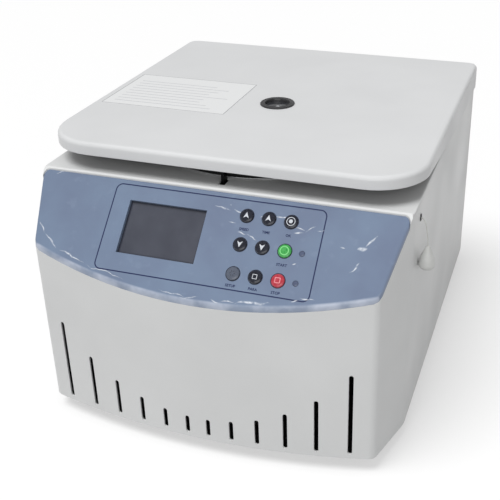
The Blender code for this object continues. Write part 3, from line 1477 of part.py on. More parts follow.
def make_inlet():
    body = box_corners(
        -INLET_BODY_WIDTH / 2, INLET_BODY_WIDTH / 2, -INLET_BODY_HEIGHT / 2, INLET_BODY_HEIGHT / 2, INLET_CORNER - GAP
    )
    shape = upright(body, -GAP - INLET_FLANGE / 2, INLET_DEPTH)
    inlet = piece("power_inlet", mesh_of(shape, "power_inlet"), BLACK_PLASTIC, parent=INLET)
    flange = box_corners(
        -INLET_FLANGE_WIDTH / 2,
        INLET_FLANGE_WIDTH / 2,
        -INLET_FLANGE_HEIGHT / 2,
        INLET_FLANGE_HEIGHT / 2,
        INLET_FLANGE_HEIGHT / 3,
    )
    flange_shape = upright(flange, -GAP - INLET_FLANGE, -GAP)
    fuse(inlet, tool("inlet_flange", mesh_of(flange_shape, "inlet_flange"), parent=INLET))
    socket = upright(inset(body, INLET_WALL), -INLET_FLANGE - OVERRUN, INLET_DEPTH - INLET_WALL)
    cut(inlet, tool("inlet_socket", mesh_of(socket, "inlet_socket"), parent=INLET))
    contacts = []
    wide, thin = CONTACT_THICKNESS / 2, CONTACT_WIDTH / 2
    for step, drop in ((-1, -CONTACT_DROP / 2), (0, CONTACT_DROP / 2), (1, -CONTACT_DROP / 2)):
        x = step * CONTACT_SPACING
        contacts.append(
            block(x - wide, x + wide, drop - thin, drop + thin, INLET_WALL, INLET_DEPTH - INLET_WALL / 2)
        )
    fuse(inlet, tool("inlet_contacts", mesh_of(gather(*contacts), "inlet_contacts"), parent=INLET))


def make_switch():
    wide, high = SWITCH_BODY_WIDTH / 2, SWITCH_BODY_HEIGHT / 2
    body = box_corners(-wide, wide, -high, high)
    shape = upright(body, -GAP - INLET_FLANGE / 2, SWITCH_DEPTH)
    case = piece(
        "switch_frame",
        mesh_of(shape, "switch_frame"),
        BLACK_PLASTIC,
        at=(SWITCH_X, REAR_PANEL_FACE, SWITCH_Z),
        turn=UPRIGHT_FACING_BACK,
    )
    half, rise = SWITCH_FLANGE_WIDTH / 2, SWITCH_FLANGE_HEIGHT / 2
    flange = upright(box_corners(-half, half, -rise, rise, SWITCH_CORNER), -GAP - INLET_FLANGE, -GAP)
    inside = upright(inset(body, SWITCH_WALL), -INLET_FLANGE - OVERRUN, SWITCH_DEPTH - 2 * SWITCH_WALL)
    where = {"at": (SWITCH_X, REAR_PANEL_FACE, SWITCH_Z), "turn": UPRIGHT_FACING_BACK}
    fuse(case, tool("switch_flange", mesh_of(flange, "switch_flange"), **where))
    cut(case, tool("switch_well", mesh_of(inside, "switch_well"), **where))
    pivot = frame("rocker_axis", (0, INLET_FLANGE - ROCKER_SINK, 0), (-ROCKER_TILT, 0, 0), SWITCH)
    face = ROCKER_SINK - ROCKER_INSET
    profile = [
        (face - ROCKER_HOLLOW, 0, 0),
        (face, ROCKER_HALF, 0),
        (face - ROCKER_DEPTH / 2, ROCKER_HALF, 0),
        (face - ROCKER_DEPTH, ROCKER_HALF / 2, 0),
        (face - ROCKER_DEPTH, -ROCKER_HALF / 2, 0),
        (face - ROCKER_DEPTH / 2, -ROCKER_HALF, 0),
        (face, -ROCKER_HALF, 0),
    ]
    width = SWITCH_BODY_WIDTH - 2 * SWITCH_WALL - 2 * GAP
    shape = plate(width, rounded(profile))
    piece(
        "switch_rocker",
        mesh_of(shape, "switch_rocker"),
        BLACK_PLASTIC,
        at=(-width / 2, 0, 0),
        turn=UPRIGHT_FACING_SIDE,
        parent=pivot,
    )


def make_power_board():
    outline = box_corners(POWER_LEFT, POWER_RIGHT, POWER_FRONT_Y, POWER_REAR_Y, POWER_CORNER)
    top = POWER_BOARD_Z + BOARD_THICKNESS
    board = piece("power_board", mesh_of(upright(outline, POWER_BOARD_Z, top), "power_board"), BOARD_GREEN)
    root = POWER_BOARD_Z + BOARD_THICKNESS / 2
    parts = []
    inner = 2 * POST_RADIUS
    for x in (POWER_LEFT + inner, POWER_RIGHT - inner):
        for y in (POWER_FRONT_Y + inner, POWER_REAR_Y - inner):
            parts.append(rod((x, y, BASE_TOP + GAP), (x, y, root), POST_RADIUS))
    sink_left = POWER_LEFT + 3 * inner
    sink_front = POWER_FRONT_Y + 3 * inner
    comb = [(sink_left, sink_front, 0), (sink_left + SINK_WIDTH, sink_front, 0)]
    pitch = SINK_WIDTH / (2 * SINK_FINS - 1)
    back = sink_front + SINK_THICKNESS
    for fin in reversed(range(SINK_FINS)):
        left = sink_left + 2 * fin * pitch
        right = left + pitch
        if fin < SINK_FINS - 1:
            comb.append((right, back, 0))
        comb += [(right, back + SINK_FIN_DEPTH, 0), (left, back + SINK_FIN_DEPTH, 0)]
        if fin > 0:
            comb.append((left, back, 0))
    parts.append(upright(comb, root, root + SINK_HEIGHT))
    y = POWER_REAR_Y - CAPACITOR_RADIUS - inner
    for index in range(2):
        x = sink_left + CAPACITOR_RADIUS + index * CAPACITOR_PITCH
        parts.append(rod((x, y, root), (x, y, root + CAPACITOR_HEIGHT), CAPACITOR_RADIUS))
    fuse(board, tool("power_parts", mesh_of(gather(*parts), "power_parts")))


def smooth_route(route, steps):
    """Points read from one smooth curve through the route's own points."""
    places = [Vector(place) for place in route]
    places = [2 * places[0] - places[1], *places, 2 * places[-1] - places[-2]]
    curve = [places[1]]
    for a, b, c, d in zip(places, places[1:], places[2:], places[3:]):
        for step in range(1, steps + 1):
            t = step / steps
            pull = (2 * a - 5 * b + 4 * c - d) * t ** 2 + (3 * b - 3 * c + d - a) * t ** 3
            curve.append(b + ((c - a) * t + pull) / 2)
    return curve


def make_release():
    centre = SIDE + GAP + PULL_RADIUS
    widest = PULL_TOP - 2 * PULL_HEIGHT / 3
    pull = [
        (0, PULL_TOP),
        (PULL_RADIUS / 5, PULL_TOP),
        (PULL_RADIUS / 2, PULL_TOP - PULL_HEIGHT / 5),
        (PULL_RADIUS * 9 / 10, PULL_TOP - PULL_HEIGHT / 2),
        (PULL_RADIUS, widest),
        (PULL_RADIUS * 9 / 10, PULL_TOP - PULL_HEIGHT * 5 / 6),
        (PULL_RADIUS / 2, PULL_TOP - PULL_HEIGHT * 24 / 25),
        (0, PULL_TOP - PULL_HEIGHT),
    ]
    turned_piece("release_pull", pull, FINE_ROUND, PULL_PLASTIC, at=(centre, RELEASE_Y, 0))
    curve = bpy.data.curves.new("release_cord", "CURVE")
    curve.dimensions = "3D"
    curve.bevel_depth = CORD_RADIUS
    curve.bevel_resolution = 2
    curve.use_fill_caps = True
    route = [(SIDE + out, RELEASE_Y, RELEASE_Z + up) for out, up in CORD_STRIDES]
    points = smooth_route(route, CORD_STEPS)
    spline = curve.splines.new("POLY")
    spline.points.add(len(points) - 1)
    for dot, place in zip(spline.points, points):
        dot.co = (*place, 1)
    piece("release_cord", curve, CORD_NYLON)


make_housing()
make_base_plate()
make_feet()
make_rear_panel()
make_fascia()
make_display()
make_control_board()
make_buttons()
make_indicators()
make_lid_shell()
make_lid_liner()
make_lid_seal()
make_window()
make_hinges()
make_striker()
make_lock()
make_bowl()
make_guard()
make_motor_mounts()
make_motor()
make_boot()
make_shaft()
make_yoke()
make_buckets()
make_rotor_nut()
make_fan()
make_inlet()
make_switch()
make_power_board()
make_release()
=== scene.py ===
import json
import math

import bmesh
import bpy
import numpy as np
from mathutils import Matrix, Vector

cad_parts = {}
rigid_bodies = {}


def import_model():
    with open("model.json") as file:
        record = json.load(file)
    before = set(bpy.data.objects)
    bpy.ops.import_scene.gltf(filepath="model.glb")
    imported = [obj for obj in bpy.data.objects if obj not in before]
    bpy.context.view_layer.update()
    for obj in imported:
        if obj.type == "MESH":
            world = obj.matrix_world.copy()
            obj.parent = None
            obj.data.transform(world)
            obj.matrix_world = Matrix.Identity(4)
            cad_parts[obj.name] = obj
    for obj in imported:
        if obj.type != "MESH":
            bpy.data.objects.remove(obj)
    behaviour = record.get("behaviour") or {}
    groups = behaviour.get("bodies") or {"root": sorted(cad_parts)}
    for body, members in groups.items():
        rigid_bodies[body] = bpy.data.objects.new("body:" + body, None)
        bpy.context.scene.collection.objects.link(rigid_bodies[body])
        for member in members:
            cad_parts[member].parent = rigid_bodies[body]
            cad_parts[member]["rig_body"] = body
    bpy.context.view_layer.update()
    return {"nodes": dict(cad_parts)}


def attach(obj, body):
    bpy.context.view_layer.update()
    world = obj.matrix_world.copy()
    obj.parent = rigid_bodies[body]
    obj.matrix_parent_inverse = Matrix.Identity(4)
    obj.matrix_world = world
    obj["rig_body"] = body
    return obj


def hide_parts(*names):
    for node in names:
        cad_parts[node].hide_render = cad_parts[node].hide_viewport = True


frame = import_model()


# The camera: a phone held by hand, a metre in front of the bench, to the right of the centrifuge and above
# its lid. It looks down 26 degrees and across 18, tipped by half a degree. The photograph is a part of a
# wider frame, so the lens is shifted.
CAMERA_AT = Vector((0.3486, -0.96375, 0.6825))
CAMERA_AZIMUTH = math.radians(17.94)
CAMERA_ELEVATION = math.radians(26.28)
CAMERA_ROLL = math.radians(0.46)
PHOTO_SIDE = 500
FOCAL_LENGTH = 875.04
VIEW_CENTRE = (300.99, 210.75)
SENSOR_WIDTH = 36


def in_scene(name, data):
    """Makes an object of this data and links it to the scene."""
    made = bpy.data.objects.new(name, data)
    bpy.context.scene.collection.objects.link(made)
    return made


camera = in_scene("camera", bpy.data.cameras.new("camera"))
camera.data.sensor_width = SENSOR_WIDTH
camera.data.lens = FOCAL_LENGTH / PHOTO_SIDE * SENSOR_WIDTH
camera.data.shift_x = (PHOTO_SIDE / 2 - VIEW_CENTRE[0]) / PHOTO_SIDE
camera.data.shift_y = (VIEW_CENTRE[1] - PHOTO_SIDE / 2) / PHOTO_SIDE
camera.data.clip_start = 0.01
looking = Vector((
    -math.sin(CAMERA_AZIMUTH) * math.cos(CAMERA_ELEVATION),
    math.cos(CAMERA_AZIMUTH) * math.cos(CAMERA_ELEVATION),
    -math.sin(CAMERA_ELEVATION),
))
turn = looking.to_track_quat("-Z", "Y").to_matrix() @ Matrix.Rotation(-CAMERA_ROLL, 3, "Z")
camera.matrix_world = Matrix.Translation(CAMERA_AT) @ turn.to_4x4()
bpy.context.scene.camera = camera


# The emergency release: a thin nylon cord comes out of a round hole high on the right side, hangs down and
# ends in a moulded white pull. Pulling it draws the lock bolt back when there is no mains.
CORD_POINTS = (
    (0.2100, -0.142, 0.2671),
    (0.2160, -0.142, 0.2670),
    (0.2198, -0.142, 0.2635),
    (0.2220, -0.142, 0.2560),
    (0.2238, -0.142, 0.2450),
    (0.2245, -0.142, 0.2349),
)
CORD_EXIT = (0.2150, -0.142, 0.2671)
CORD_THICK = 0.0013
CORD_STEPS = 5
CORD_ROUND = 12
CORD_LAY = 0.0022
# Radius and height of the rubber grommet's outline, which sits in the cord's hole.
GROMMET_OUTLINE = (
    (0.0015, -0.0015), (0.0031, -0.0015), (0.0031, 0), (0.0040, 0), (0.0041, 0.0003), (0.0038, 0.0007),
    (0.0020, 0.0008), (0.0015, 0.0005), (0.0015, -0.0015),
)
PULL_AT = Vector((0.2245, -0.142, 0))
PULL_TURNS = 48
# Radius and height of the pull's outline from its foot to its neck.
PULL_OUTLINE = (
    (0, 0.2076), (0.0046, 0.2078), (0.0078, 0.2088), (0.0090, 0.2106), (0.0092, 0.2128), (0.0090, 0.2150),
    (0.0084, 0.2185), (0.0072, 0.2225), (0.0057, 0.2262), (0.0043, 0.2294), (0.0033, 0.2318),
    (0.0027, 0.2334), (0.0022, 0.2343), (0.0014, 0.2346), (0, 0.2346),
)
# Points of a mesh that are closer than this are one point.
SAME_POINT = 0.000002
# The span of values that a noise keeps to over most of a surface.
NOISE_SPAN = (0.3, 0.7)


def linear(red, green, blue):
    """A colour written as it looks on a screen, in 0 to 255, as the renderer takes it."""
    scaled = [channel / 255 for channel in (red, green, blue)]
    return tuple(c / 12.92 if c <= 0.04045 else ((c + 0.055) / 1.055) ** 2.4 for c in scaled) + (1,)


def grey(light, cast=0):
    """A grey as it looks on a screen, with a cast to blue, or below zero to yellow."""
    return linear(light, light, light + cast)


def operator(kind):
    """A method that adds the Math node of this kind to the tree of its first term."""
    return lambda *terms: terms[0].graph.node("ShaderNodeMath", {"operation": kind}, dict(enumerate(terms)))


class Value:
    """What a node gives, which can be used in sums."""

    def __init__(self, graph, socket):
        self.graph = graph
        self.socket = socket

    def __rsub__(self, other):
        return self.graph.node("ShaderNodeMath", {"operation": "SUBTRACT"}, {0: other, 1: self})

    __add__ = operator("ADD")
    __sub__ = operator("SUBTRACT")
    __mul__ = operator("MULTIPLY")
    __truediv__ = operator("DIVIDE")
    __mod__ = operator("FLOORED_MODULO")
    __abs__ = operator("ABSOLUTE")
    __and__ = operator("MINIMUM")
    __or__ = operator("MAXIMUM")


class Graph:
    """A node tree being made, of a finish or of a pattern."""

    def node(self, kind, settings=None, sockets=None, output=0):
        """Adds a node, makes its settings, fills its sockets and gives one of its outputs."""
        made = self.tree.nodes.new(kind)
        for setting, value in (settings or {}).items():
            setattr(made, setting, value)
        for key, value in (sockets or {}).items():
            self.fill(made.inputs[key], value)
        return Value(self, made.outputs[output])

    def fill(self, socket, value):
        if isinstance(value, Value):
            self.tree.links.new(value.socket, socket)
        else:
            socket.default_value = value

    def vector(self, x=0, y=0, z=0):
        return self.node("ShaderNodeCombineXYZ", sockets={0: x, 1: y, 2: z})

    def length(self, x, y):
        flat = {0: self.vector(x, y)}
        return self.node("ShaderNodeVectorMath", {"operation": "LENGTH"}, flat, output="Value")


class Finish(Graph):
    """A material being made."""

    def __init__(self, name, **sockets):
        self.material = bpy.data.materials.new(name)
        self.material.use_nodes = True
        self.tree = self.material.node_tree
        self.shader = self.tree.nodes["Principled BSDF"]
        self.set(**sockets)

    def set(self, **sockets):
        """Fills the shader's sockets by name, with values or with what changes over the surface."""
        for socket, value in sockets.items():
            self.fill(self.shader.inputs[socket.replace("_", " ").title().replace("Ior", "IOR")], value)

    def place(self, turn=(0, 0, 0), at=(0, 0, 0), scale=(1, 1, 1)):
        """Object coordinates, turned and centred on a piece."""
        coordinates = self.node("ShaderNodeTexCoord", output="Object")
        sockets = {"Vector": coordinates, "Location": at, "Rotation": turn, "Scale": scale}
        return self.node("ShaderNodeMapping", {"vector_type": "TEXTURE"}, sockets)

    def axes(self, vector):
        split = self.node("ShaderNodeSeparateXYZ", sockets={"Vector": vector}).socket.node
        return [Value(self, output) for output in split.outputs]

    def noise(self, scale, detail=2, place=None):
        sockets = {"Scale": scale, "Detail": detail, "Vector": place or self.place()}
        return self.node("ShaderNodeTexNoise", sockets=sockets)

    def range(self, value, low, high, start, end):
        """Stretches what lies between low and high to start and end, and no further."""
        sockets = {"Value": value, "From Min": low, "From Max": high, "To Min": start, "To Max": end}
        return self.node("ShaderNodeMapRange", sockets=sockets)

    def spread(self, noise, start, end):
        """Stretches the usual values of a noise to start and end."""
        return self.range(noise, *NOISE_SPAN, start, end)

    def mix(self, share, first, second):
        sockets = {0: share, 6: first, 7: second}
        return self.node("ShaderNodeMix", {"data_type": "RGBA"}, sockets, output=2)

    def bump(self, height, depth, strength=1, **over):
        sockets = {"Height": height, "Distance": depth, "Strength": strength, **over}
        return self.node("ShaderNodeBump", sockets=sockets)

    def worn(self, colour, roughness, bump):
        """The finish, once these terms of a mix, of a spread and of a bump have filled its shader."""
        self.set(base_color=self.mix(*colour), roughness=self.spread(*roughness), normal=self.bump(*bump))
        return self


def shown(name, mesh, finish, body, slot, *nodes, smooth=40):
    """Puts a finished mesh in the scene as a piece of that body, in place of these CAD nodes."""
    made = in_scene(name, mesh)
    if finish and not mesh.materials:
        mesh.materials.append(finish.material)
    if not mesh.has_custom_normals:
        mesh.shade_smooth()
        mesh.set_sharp_from_angle(angle=math.radians(smooth))
    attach(made, body)
    if nodes:
        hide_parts(*nodes)
    return made


def as_mesh(shape, name):
    """Gives the mesh of a shape and lets the shape go."""
    mesh = bpy.data.meshes.new(name)
    shape.to_mesh(mesh)
    shape.free()
    return mesh


def mesh_from(shape, name):
    """Merges the points of a shape, turns its faces outwards and gives its mesh."""
    bmesh.ops.remove_doubles(shape, verts=shape.verts, dist=SAME_POINT)
    bmesh.ops.recalc_face_normals(shape, faces=shape.faces)
    return as_mesh(shape, name)


def ring_points(radius, turns=48):
    """Plan points of a circle."""
    angles = [2 * math.pi * step / turns for step in range(turns)]
    return [(radius * math.cos(angle), radius * math.sin(angle)) for angle in angles]


def add_belt(shape, low, high):
    """Adds the faces between two rings of points, of which one may be a single point."""
    turns = max(len(low), len(high))
    faces = []
    for step in range(turns if turns > 1 else 0):
        steps = (step, (step + 1) % turns)
        corners = [low[s % len(low)] for s in steps] + [high[s % len(high)] for s in reversed(steps)]
        faces.append(shape.faces.new(list(dict.fromkeys(corners))))
    return faces


def add_turned(shape, outline, at=(0, 0, 0), turns=96):
    """Adds what this outline of radii and heights sweeps round the upright line through a place."""
    rings = []
    for radius, height in outline:
        ring = ring_points(radius, turns if radius else 1)
        rings.append([shape.verts.new((at[0] + x, at[1] + y, at[2] + height)) for x, y in ring])
    for low, high in zip(rings, rings[1:]):
        add_belt(shape, low, high)


def turned_mesh(name, outline, at=(0, 0, 0), turns=96):
    shape = bmesh.new()
    add_turned(shape, outline, at, turns)
    return mesh_from(shape, name)


def turned(name, outline, at, turns, finish, body, slot, node, smooth=50):
    """Shows a turned mesh in place of a CAD node."""
    return shown(name, turned_mesh(name, outline, at, turns), finish, body, slot, node, smooth=smooth)


def swept_through(points, steps):
    """Points on the smooth line through these points, which starts and ends straight."""
    ends = [points[0], *points, points[-1]]
    line = []
    for before, start, end, after in zip(ends, ends[1:], ends[2:], ends[3:]):
        p0, p1, p2, p3 = (np.array(point) for point in (before, start, end, after))
        for step in range(steps):
            t = step / steps
            place = 2 * p1 + (p2 - p0) * t + (2 * p0 - 5 * p1 + 4 * p2 - p3) * t ** 2
            line.append(tuple((place + (3 * p1 - 3 * p2 + p3 - p0) * t ** 3) / 2))
    return line + [tuple(points[-1])]


def tube_mesh(name, line, radius, around):
    """A round tube along a line with closed ends. Its UV map runs once round it and in metres along it."""
    shape = bmesh.new()
    wrap = shape.loops.layers.uv.new("wrap")
    rings, lengths, far = [], [], 0
    side = Vector((0, 1, 0))
    for index, place in enumerate(line):
        before, after = line[max(index - 1, 0)], line[min(index + 1, len(line) - 1)]
        up = (Vector(after) - Vector(before)).cross(side).normalized()
        far += (Vector(place) - Vector(before)).length
        lengths.append(far)
        ring = [Vector(place) + x * side + y * up for x, y in ring_points(radius, around)]
        rings.append([shape.verts.new(point) for point in ring])
    for index, (low, high) in enumerate(zip(rings, rings[1:])):
        for step, face in enumerate(add_belt(shape, low, high)):
            places = [(step, index), (step + 1, index), (step + 1, index + 1), (step, index + 1)]
            for loop, (turn_at, length_at) in zip(face.loops, places):
                loop[wrap].uv = (turn_at / around, lengths[length_at])
    shape.faces.new(rings[0])
    shape.faces.new(rings[-1])
    return mesh_from(shape, name)


def cord_finish():
    """Off-white nylon cord with the slanted lay of its strands, and painted shade in the grooves between
    them.
    """
    finish = Finish("release_cord_nylon", ior=1.5, sheen_weight=0.2)
    wrap = finish.node("ShaderNodeUVMap", {"uv_map": "wrap"})
    round_it, along, _ = finish.axes(wrap)
    strand_groove_shade = abs((round_it * 3 + along / CORD_LAY) % 1 - 0.5) * 2
    # Painted shade: the colour darkens in the grooves between the strands, where the bump is lowest.
    finish.set(
        base_color=finish.mix(strand_groove_shade, grey(232, -3), grey(202, -4)),
        roughness=finish.range(strand_groove_shade, 0, 1, 0.55, 0.75),
        normal=finish.bump(1 - strand_groove_shade, 0.0002),
    )
    return finish


def grommet_finish():
    """Soft black rubber with a grey bloom."""
    finish = Finish("grommet_rubber", ior=1.5)
    bloom = finish.noise(900, 3)
    return finish.worn(
        (bloom, linear(30, 31, 33), linear(62, 63, 65)), (bloom, 0.55, 0.75), (bloom, 0.00003),
    )


def pull_finish():
    """White moulded plastic, a little yellowed, with fine moulding grain and handling marks."""
    finish = Finish("pull_moulding", ior=1.49)
    patches = finish.noise(160, 3)
    return finish.worn(
        (patches, linear(220, 221, 219), linear(205, 206, 203)),
        (patches, 0.28, 0.42), (finish.noise(2600), 0.00003),
    )


cord_line = swept_through(CORD_POINTS, CORD_STEPS)
pull = turned(
    "lock_release_pull", PULL_OUTLINE, PULL_AT, PULL_TURNS, pull_finish(),
    "root", "pull_plastic", "release_pull", smooth=40,
)
release_cord = shown(
    "lock_release_cord", tube_mesh("lock_release_cord", cord_line, CORD_THICK / 2, CORD_ROUND),
    cord_finish(), "root", "pull_plastic", "release_cord",
)
grommet = turned_mesh("cord_grommet", GROMMET_OUTLINE, turns=40)
grommet.transform(Matrix.Translation(CORD_EXIT) @ Matrix.Rotation(math.pi / 2, 4, "Y"))
shown("cord_grommet", grommet, grommet_finish(), "root", "rubber")


# The studio: a white paper floor, a soft lamp overhead and a large soft box in front, in an even pale room.
# The paper looks white to the camera and in reflections, and throws little of its light back up.
FLOOR_HALF = 6
LAMP_FROM = Vector((-0.24, -0.26, 0.94))
LAMP_STRENGTH = 1.85
LAMP_SPREAD = math.radians(34)
BOX_AT = Vector((0.70, -2.05, 0.95))
BOX_AIM = Vector((0.05, -0.1, 0.15))
BOX_SIZE = (2.2, 1.3)
BOX_POWER = 13
ROOM_LIGHT = 0.40
PAPER_WHITE = (0.55, 0.55, 0.55, 1)
PAPER_GLOW = (0.46, 0.46, 0.46, 1)
PAPER_BOUNCE = (0.32, 0.32, 0.32, 1)
DARK = (0, 0, 0, 1)
WHITE = (1, 1, 1, 1)

floor_shape = bmesh.new()
bmesh.ops.create_grid(floor_shape, x_segments=1, y_segments=1, size=FLOOR_HALF)
paper = Finish("studio_paper", roughness=1.0, specular_ior_level=0.0, emission_strength=1.0)
rays = paper.node("ShaderNodeLightPath").socket.node.outputs
seen = Value(paper, rays["Is Camera Ray"]) | Value(paper, rays["Is Glossy Ray"])
seen = seen | Value(paper, rays["Is Transmission Ray"])
paper.set(
    base_color=paper.mix(seen, PAPER_BOUNCE, PAPER_WHITE),
    emission_color=paper.mix(seen, DARK, PAPER_GLOW),
)
floor = in_scene("paper_floor", as_mesh(floor_shape, "paper_floor"))
floor.data.materials.append(paper.material)

lamp = in_scene("overhead_lamp", bpy.data.lights.new("overhead_lamp", "SUN"))
lamp.data.energy = LAMP_STRENGTH
lamp.data.angle = LAMP_SPREAD
lamp.rotation_euler = LAMP_FROM.to_track_quat("Z", "Y").to_euler()
lamp.visible_glossy = False
box = in_scene("soft_box", bpy.data.lights.new("soft_box", "AREA"))
box.data.shape = "RECTANGLE"
box.data.size, box.data.size_y = BOX_SIZE
box.data.energy = BOX_POWER
box.location = BOX_AT
box.rotation_euler = (BOX_AT - BOX_AIM).to_track_quat("Z", "Y").to_euler()
room = bpy.data.worlds.new("pale_room")
room.use_nodes = True
background = room.node_tree.nodes["Background"].inputs
background["Color"].default_value = WHITE
background["Strength"].default_value = ROOM_LIGHT
bpy.context.scene.world = room
bpy.context.scene.view_settings.view_transform = "Standard"


# The casing: sheet steel folded and welded to one shell, bowed at the front, tapered at both front corners
# and open at the back and below. White semi-gloss paint inside and out. Twelve slots let air in along the
# front's foot.
CASING_EDGE = 0.0006
BOW_RADIUS = 0.79311
BOW_MIDDLE_Y = 0.52586
BOW_SLACK = 0.0026
# How far the normal of a face of the bow rises at most, and how much of it lies along the bow's radius.
BOW_RISE = 0.1
BOW_FACING = 0.99
# Points of a CAD mesh that are closer than this are one point.
CAD_SAME_POINT = 0.000003
# Neighbouring faces of a CAD mesh that turn by fewer degrees than this are one face.
FLAT_WITHIN = 0.3
ROUNDED_FROM = math.radians(32)
ROUNDED_STEPS = 2
CLOUD_SHADE = 0.955


def merged_copy(node, flat=FLAT_WITHIN):
    """A CAD node's mesh with its doubled points merged and its flat faces joined."""
    shape = bmesh.new()
    shape.from_mesh(frame["nodes"][node].data)
    bmesh.ops.remove_doubles(shape, verts=shape.verts, dist=CAD_SAME_POINT)
    if flat:
        bmesh.ops.dissolve_limit(shape, angle_limit=math.radians(flat), verts=shape.verts, edges=shape.edges)
    return as_mesh(shape, node)


def evaluated(work, name):
    """Gives the plain mesh that an object shows, and removes the object."""
    done = bpy.data.meshes.new_from_object(work.evaluated_get(bpy.context.evaluated_depsgraph_get()))
    done.name = name
    bpy.data.objects.remove(work)
    return done


def eased(mesh, edge):
    """Rounds the sharp edges of a mesh and keeps its flat faces flat in the light."""
    work = in_scene("eased", mesh)
    mesh.shade_smooth()
    bevel = work.modifiers.new("ease", "BEVEL")
    bevel.width = edge
    bevel.segments = ROUNDED_STEPS
    bevel.limit_method = "ANGLE"
    bevel.angle_limit = ROUNDED_FROM
    bevel.miter_outer = "MITER_ARC"
    work.modifiers.new("flat", "WEIGHTED_NORMAL").weight = 100
    return evaluated(work, mesh.name)


def refined(node, finish, slot, edge, flat=FLAT_WITHIN, name=None):
    """A CAD piece's own shape with its edges rounded."""
    body = frame["nodes"][node]["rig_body"]
    return shown(name or f"{node}_fine", eased(merged_copy(node, flat), edge), finish, body, slot, node)


def follow_bow(mesh):
    """Turns the shading of the upright front faces to the bow that they follow."""
    normals = [Vector(corner.vector) for corner in mesh.corner_normals]
    for face in mesh.polygons:
        out = Vector((face.center.x, face.center.y - BOW_MIDDLE_Y, 0))
        facing = face.normal.dot(out) / out.length
        near = abs(face.normal.z) < BOW_RISE and abs(out.length - BOW_RADIUS) < BOW_SLACK
        if near and abs(facing) > BOW_FACING:
            for corner in face.loop_indices:
                place = mesh.vertices[mesh.loops[corner].vertex_index].co
                outwards = Vector((place.x, place.y - BOW_MIDDLE_Y, 0)).normalized()
                normals[corner] = math.copysign(1, facing) * outwards
    mesh.normals_split_custom_set(normals)
    return mesh


def painted_steel(name, colour, roughness=0.38):
    """Sprayed semi-gloss paint: a fine orange peel, and faint clouding that is a little darker and duller."""
    finish = Finish(name, ior=1.5)
    cloud = finish.noise(9, 2)
    dull = tuple(c * CLOUD_SHADE for c in colour[:3]) + (1,)
    return finish.worn(
        (finish.range(cloud, 0.35, 0.65, 0, 1), colour, dull),
        (cloud, roughness - 0.05, roughness + 0.07), (finish.noise(420, 3), 0.00006),
    )


shown(
    "casing_shell", follow_bow(eased(merged_copy("housing"), CASING_EDGE)),
    painted_steel("casing_paint", linear(228, 229, 229)), "root", "painted_steel", "housing",
)


# The control panel: moulded blue-grey plastic, rounded along its rim, set into a seat in the casing's
# sloping front. A fine navy line and small captions are printed on it, and a clear film still lies over it,
# creased in places. Near-white glints on the crease ridges and a pale band along the lower rim are painted
# highlights.
PANEL_TILT = math.radians(44.5)
PANEL_AT = (0, -0.1788, 0.2861)
PANEL_PLACE = Matrix.Translation(PANEL_AT) @ Matrix.Rotation(PANEL_TILT, 4, "X")
BORDER_MIDDLE = (0.0043, -0.0560)
BORDER_HALF = (0.1211, 0.0492)
BORDER_CORNER = 0.007
BORDER_LINE = 0.0013
PRINT_NAVY = linear(16, 30, 76)
CAPTION_TALL = 0.0040
CAPTION_THICK = 0.00008
STROKE_SHARE = 0.025
# Width of the painted highlight along the panel's rounded lower rim, at the film's edge.
HEM_HIGHLIGHT_WIDE = 0.0024
FILM_WARP = 0.012
CAPTIONS = (
    ("SPEED", 0.0403, -0.0392), ("TIME", 0.0649, -0.0392), ("OK", 0.0895, -0.0392),
    ("START", 0.0895, -0.0712),
    ("SETUP", 0.0403, -0.1010), ("PARA", 0.0649, -0.1010), ("STOP", 0.0895, -0.1010),
)
# Crease ridges in the film, painted as near-white glints: the middle, the half length, the half width and
# the turn of each, on the panel, in millimetres and degrees.
FILM_CREASE_GLINTS = (
    (11.2, -18.7, 10.3, 1.2, -14), (29.4, -19.2, 5.9, 1, -10), (57.5, -21.2, 3.9, 0.8, 26),
    (78, -21.3, 7.9, 1.3, -2), (25.8, -33.8, 4.9, 0.9, 2), (38.6, -43.7, 6.2, 1, -9),
    (50.8, -46, 7.1, 0.9, -19), (99.8, -34.4, 5.8, 1.2, 13), (110.5, -28.2, 7, 0.8, 44),
    (100.4, -29.6, 6, 0.9, -2), (122.2, -27.9, 4.3, 0.7, 22), (19.7, -14, 0.9, 0.9, -27),
    (62.9, -56.5, 8.8, 0.5, -27), (28.6, -119.4, 6, 1.2, -15), (67.5, -115, 20, 2, 6),
    (41.5, -116.4, 8.4, 0.9, 8), (123.2, -101.5, 9.3, 1.2, -3), (110.8, -105.5, 4.1, 0.8, 18),
    (-1.6, -120.1, 11.8, 0.9, 3), (148.5, -43.1, 3.3, 1, -3), (102.5, -68.9, 2.5, 0.8, 16),
    (177, -33, 9.5, 1.6, 62), (169, -43, 6, 2.2, 8), (164, -62, 7.5, 1.2, 58),
    (-192.7, -70, 8.8, 1.1, -47), (-176, -83, 13, 1.3, -35), (-146.6, -97, 19.7, 1, -18),
    (-102.2, -108, 26.3, 0.8, -11), (-191.4, -3.6, 5.2, 0.8, 17), (-21.2, -118, 16.6, 0.8, -2),
)


def rounded_box(finish, across, along, middle, half, corner):
    """The signed distance from the rim of a box with round corners: below zero inside it."""
    out_x = abs(across - middle[0]) - (half[0] - corner)
    out_y = abs(along - middle[1]) - (half[1] - corner)
    return finish.length(out_x | 0.0, out_y | 0.0) + ((out_x | out_y) & 0.0) - corner


def creases(finish, across, along, warp):
    """A mask of the crease ridges in the film, for their painted glints: 1 on their ridges, with ragged,
    uneven edges.
    """
    mask = None
    for *sizes, turn in FILM_CREASE_GLINTS:
        u, v, length, width = (size / 1000 for size in sizes)
        c, s = math.cos(math.radians(turn)), math.sin(math.radians(turn))
        far = abs((across - u) * c + (along - v) * s) / length
        off = abs((along - v) * c - (across - u) * s + (warp - 0.5) * FILM_WARP) / width
        ridge = finish.range(off + far * far, 0, 1, 1, 0)
        mask = mask | ridge if mask else ridge
    return mask


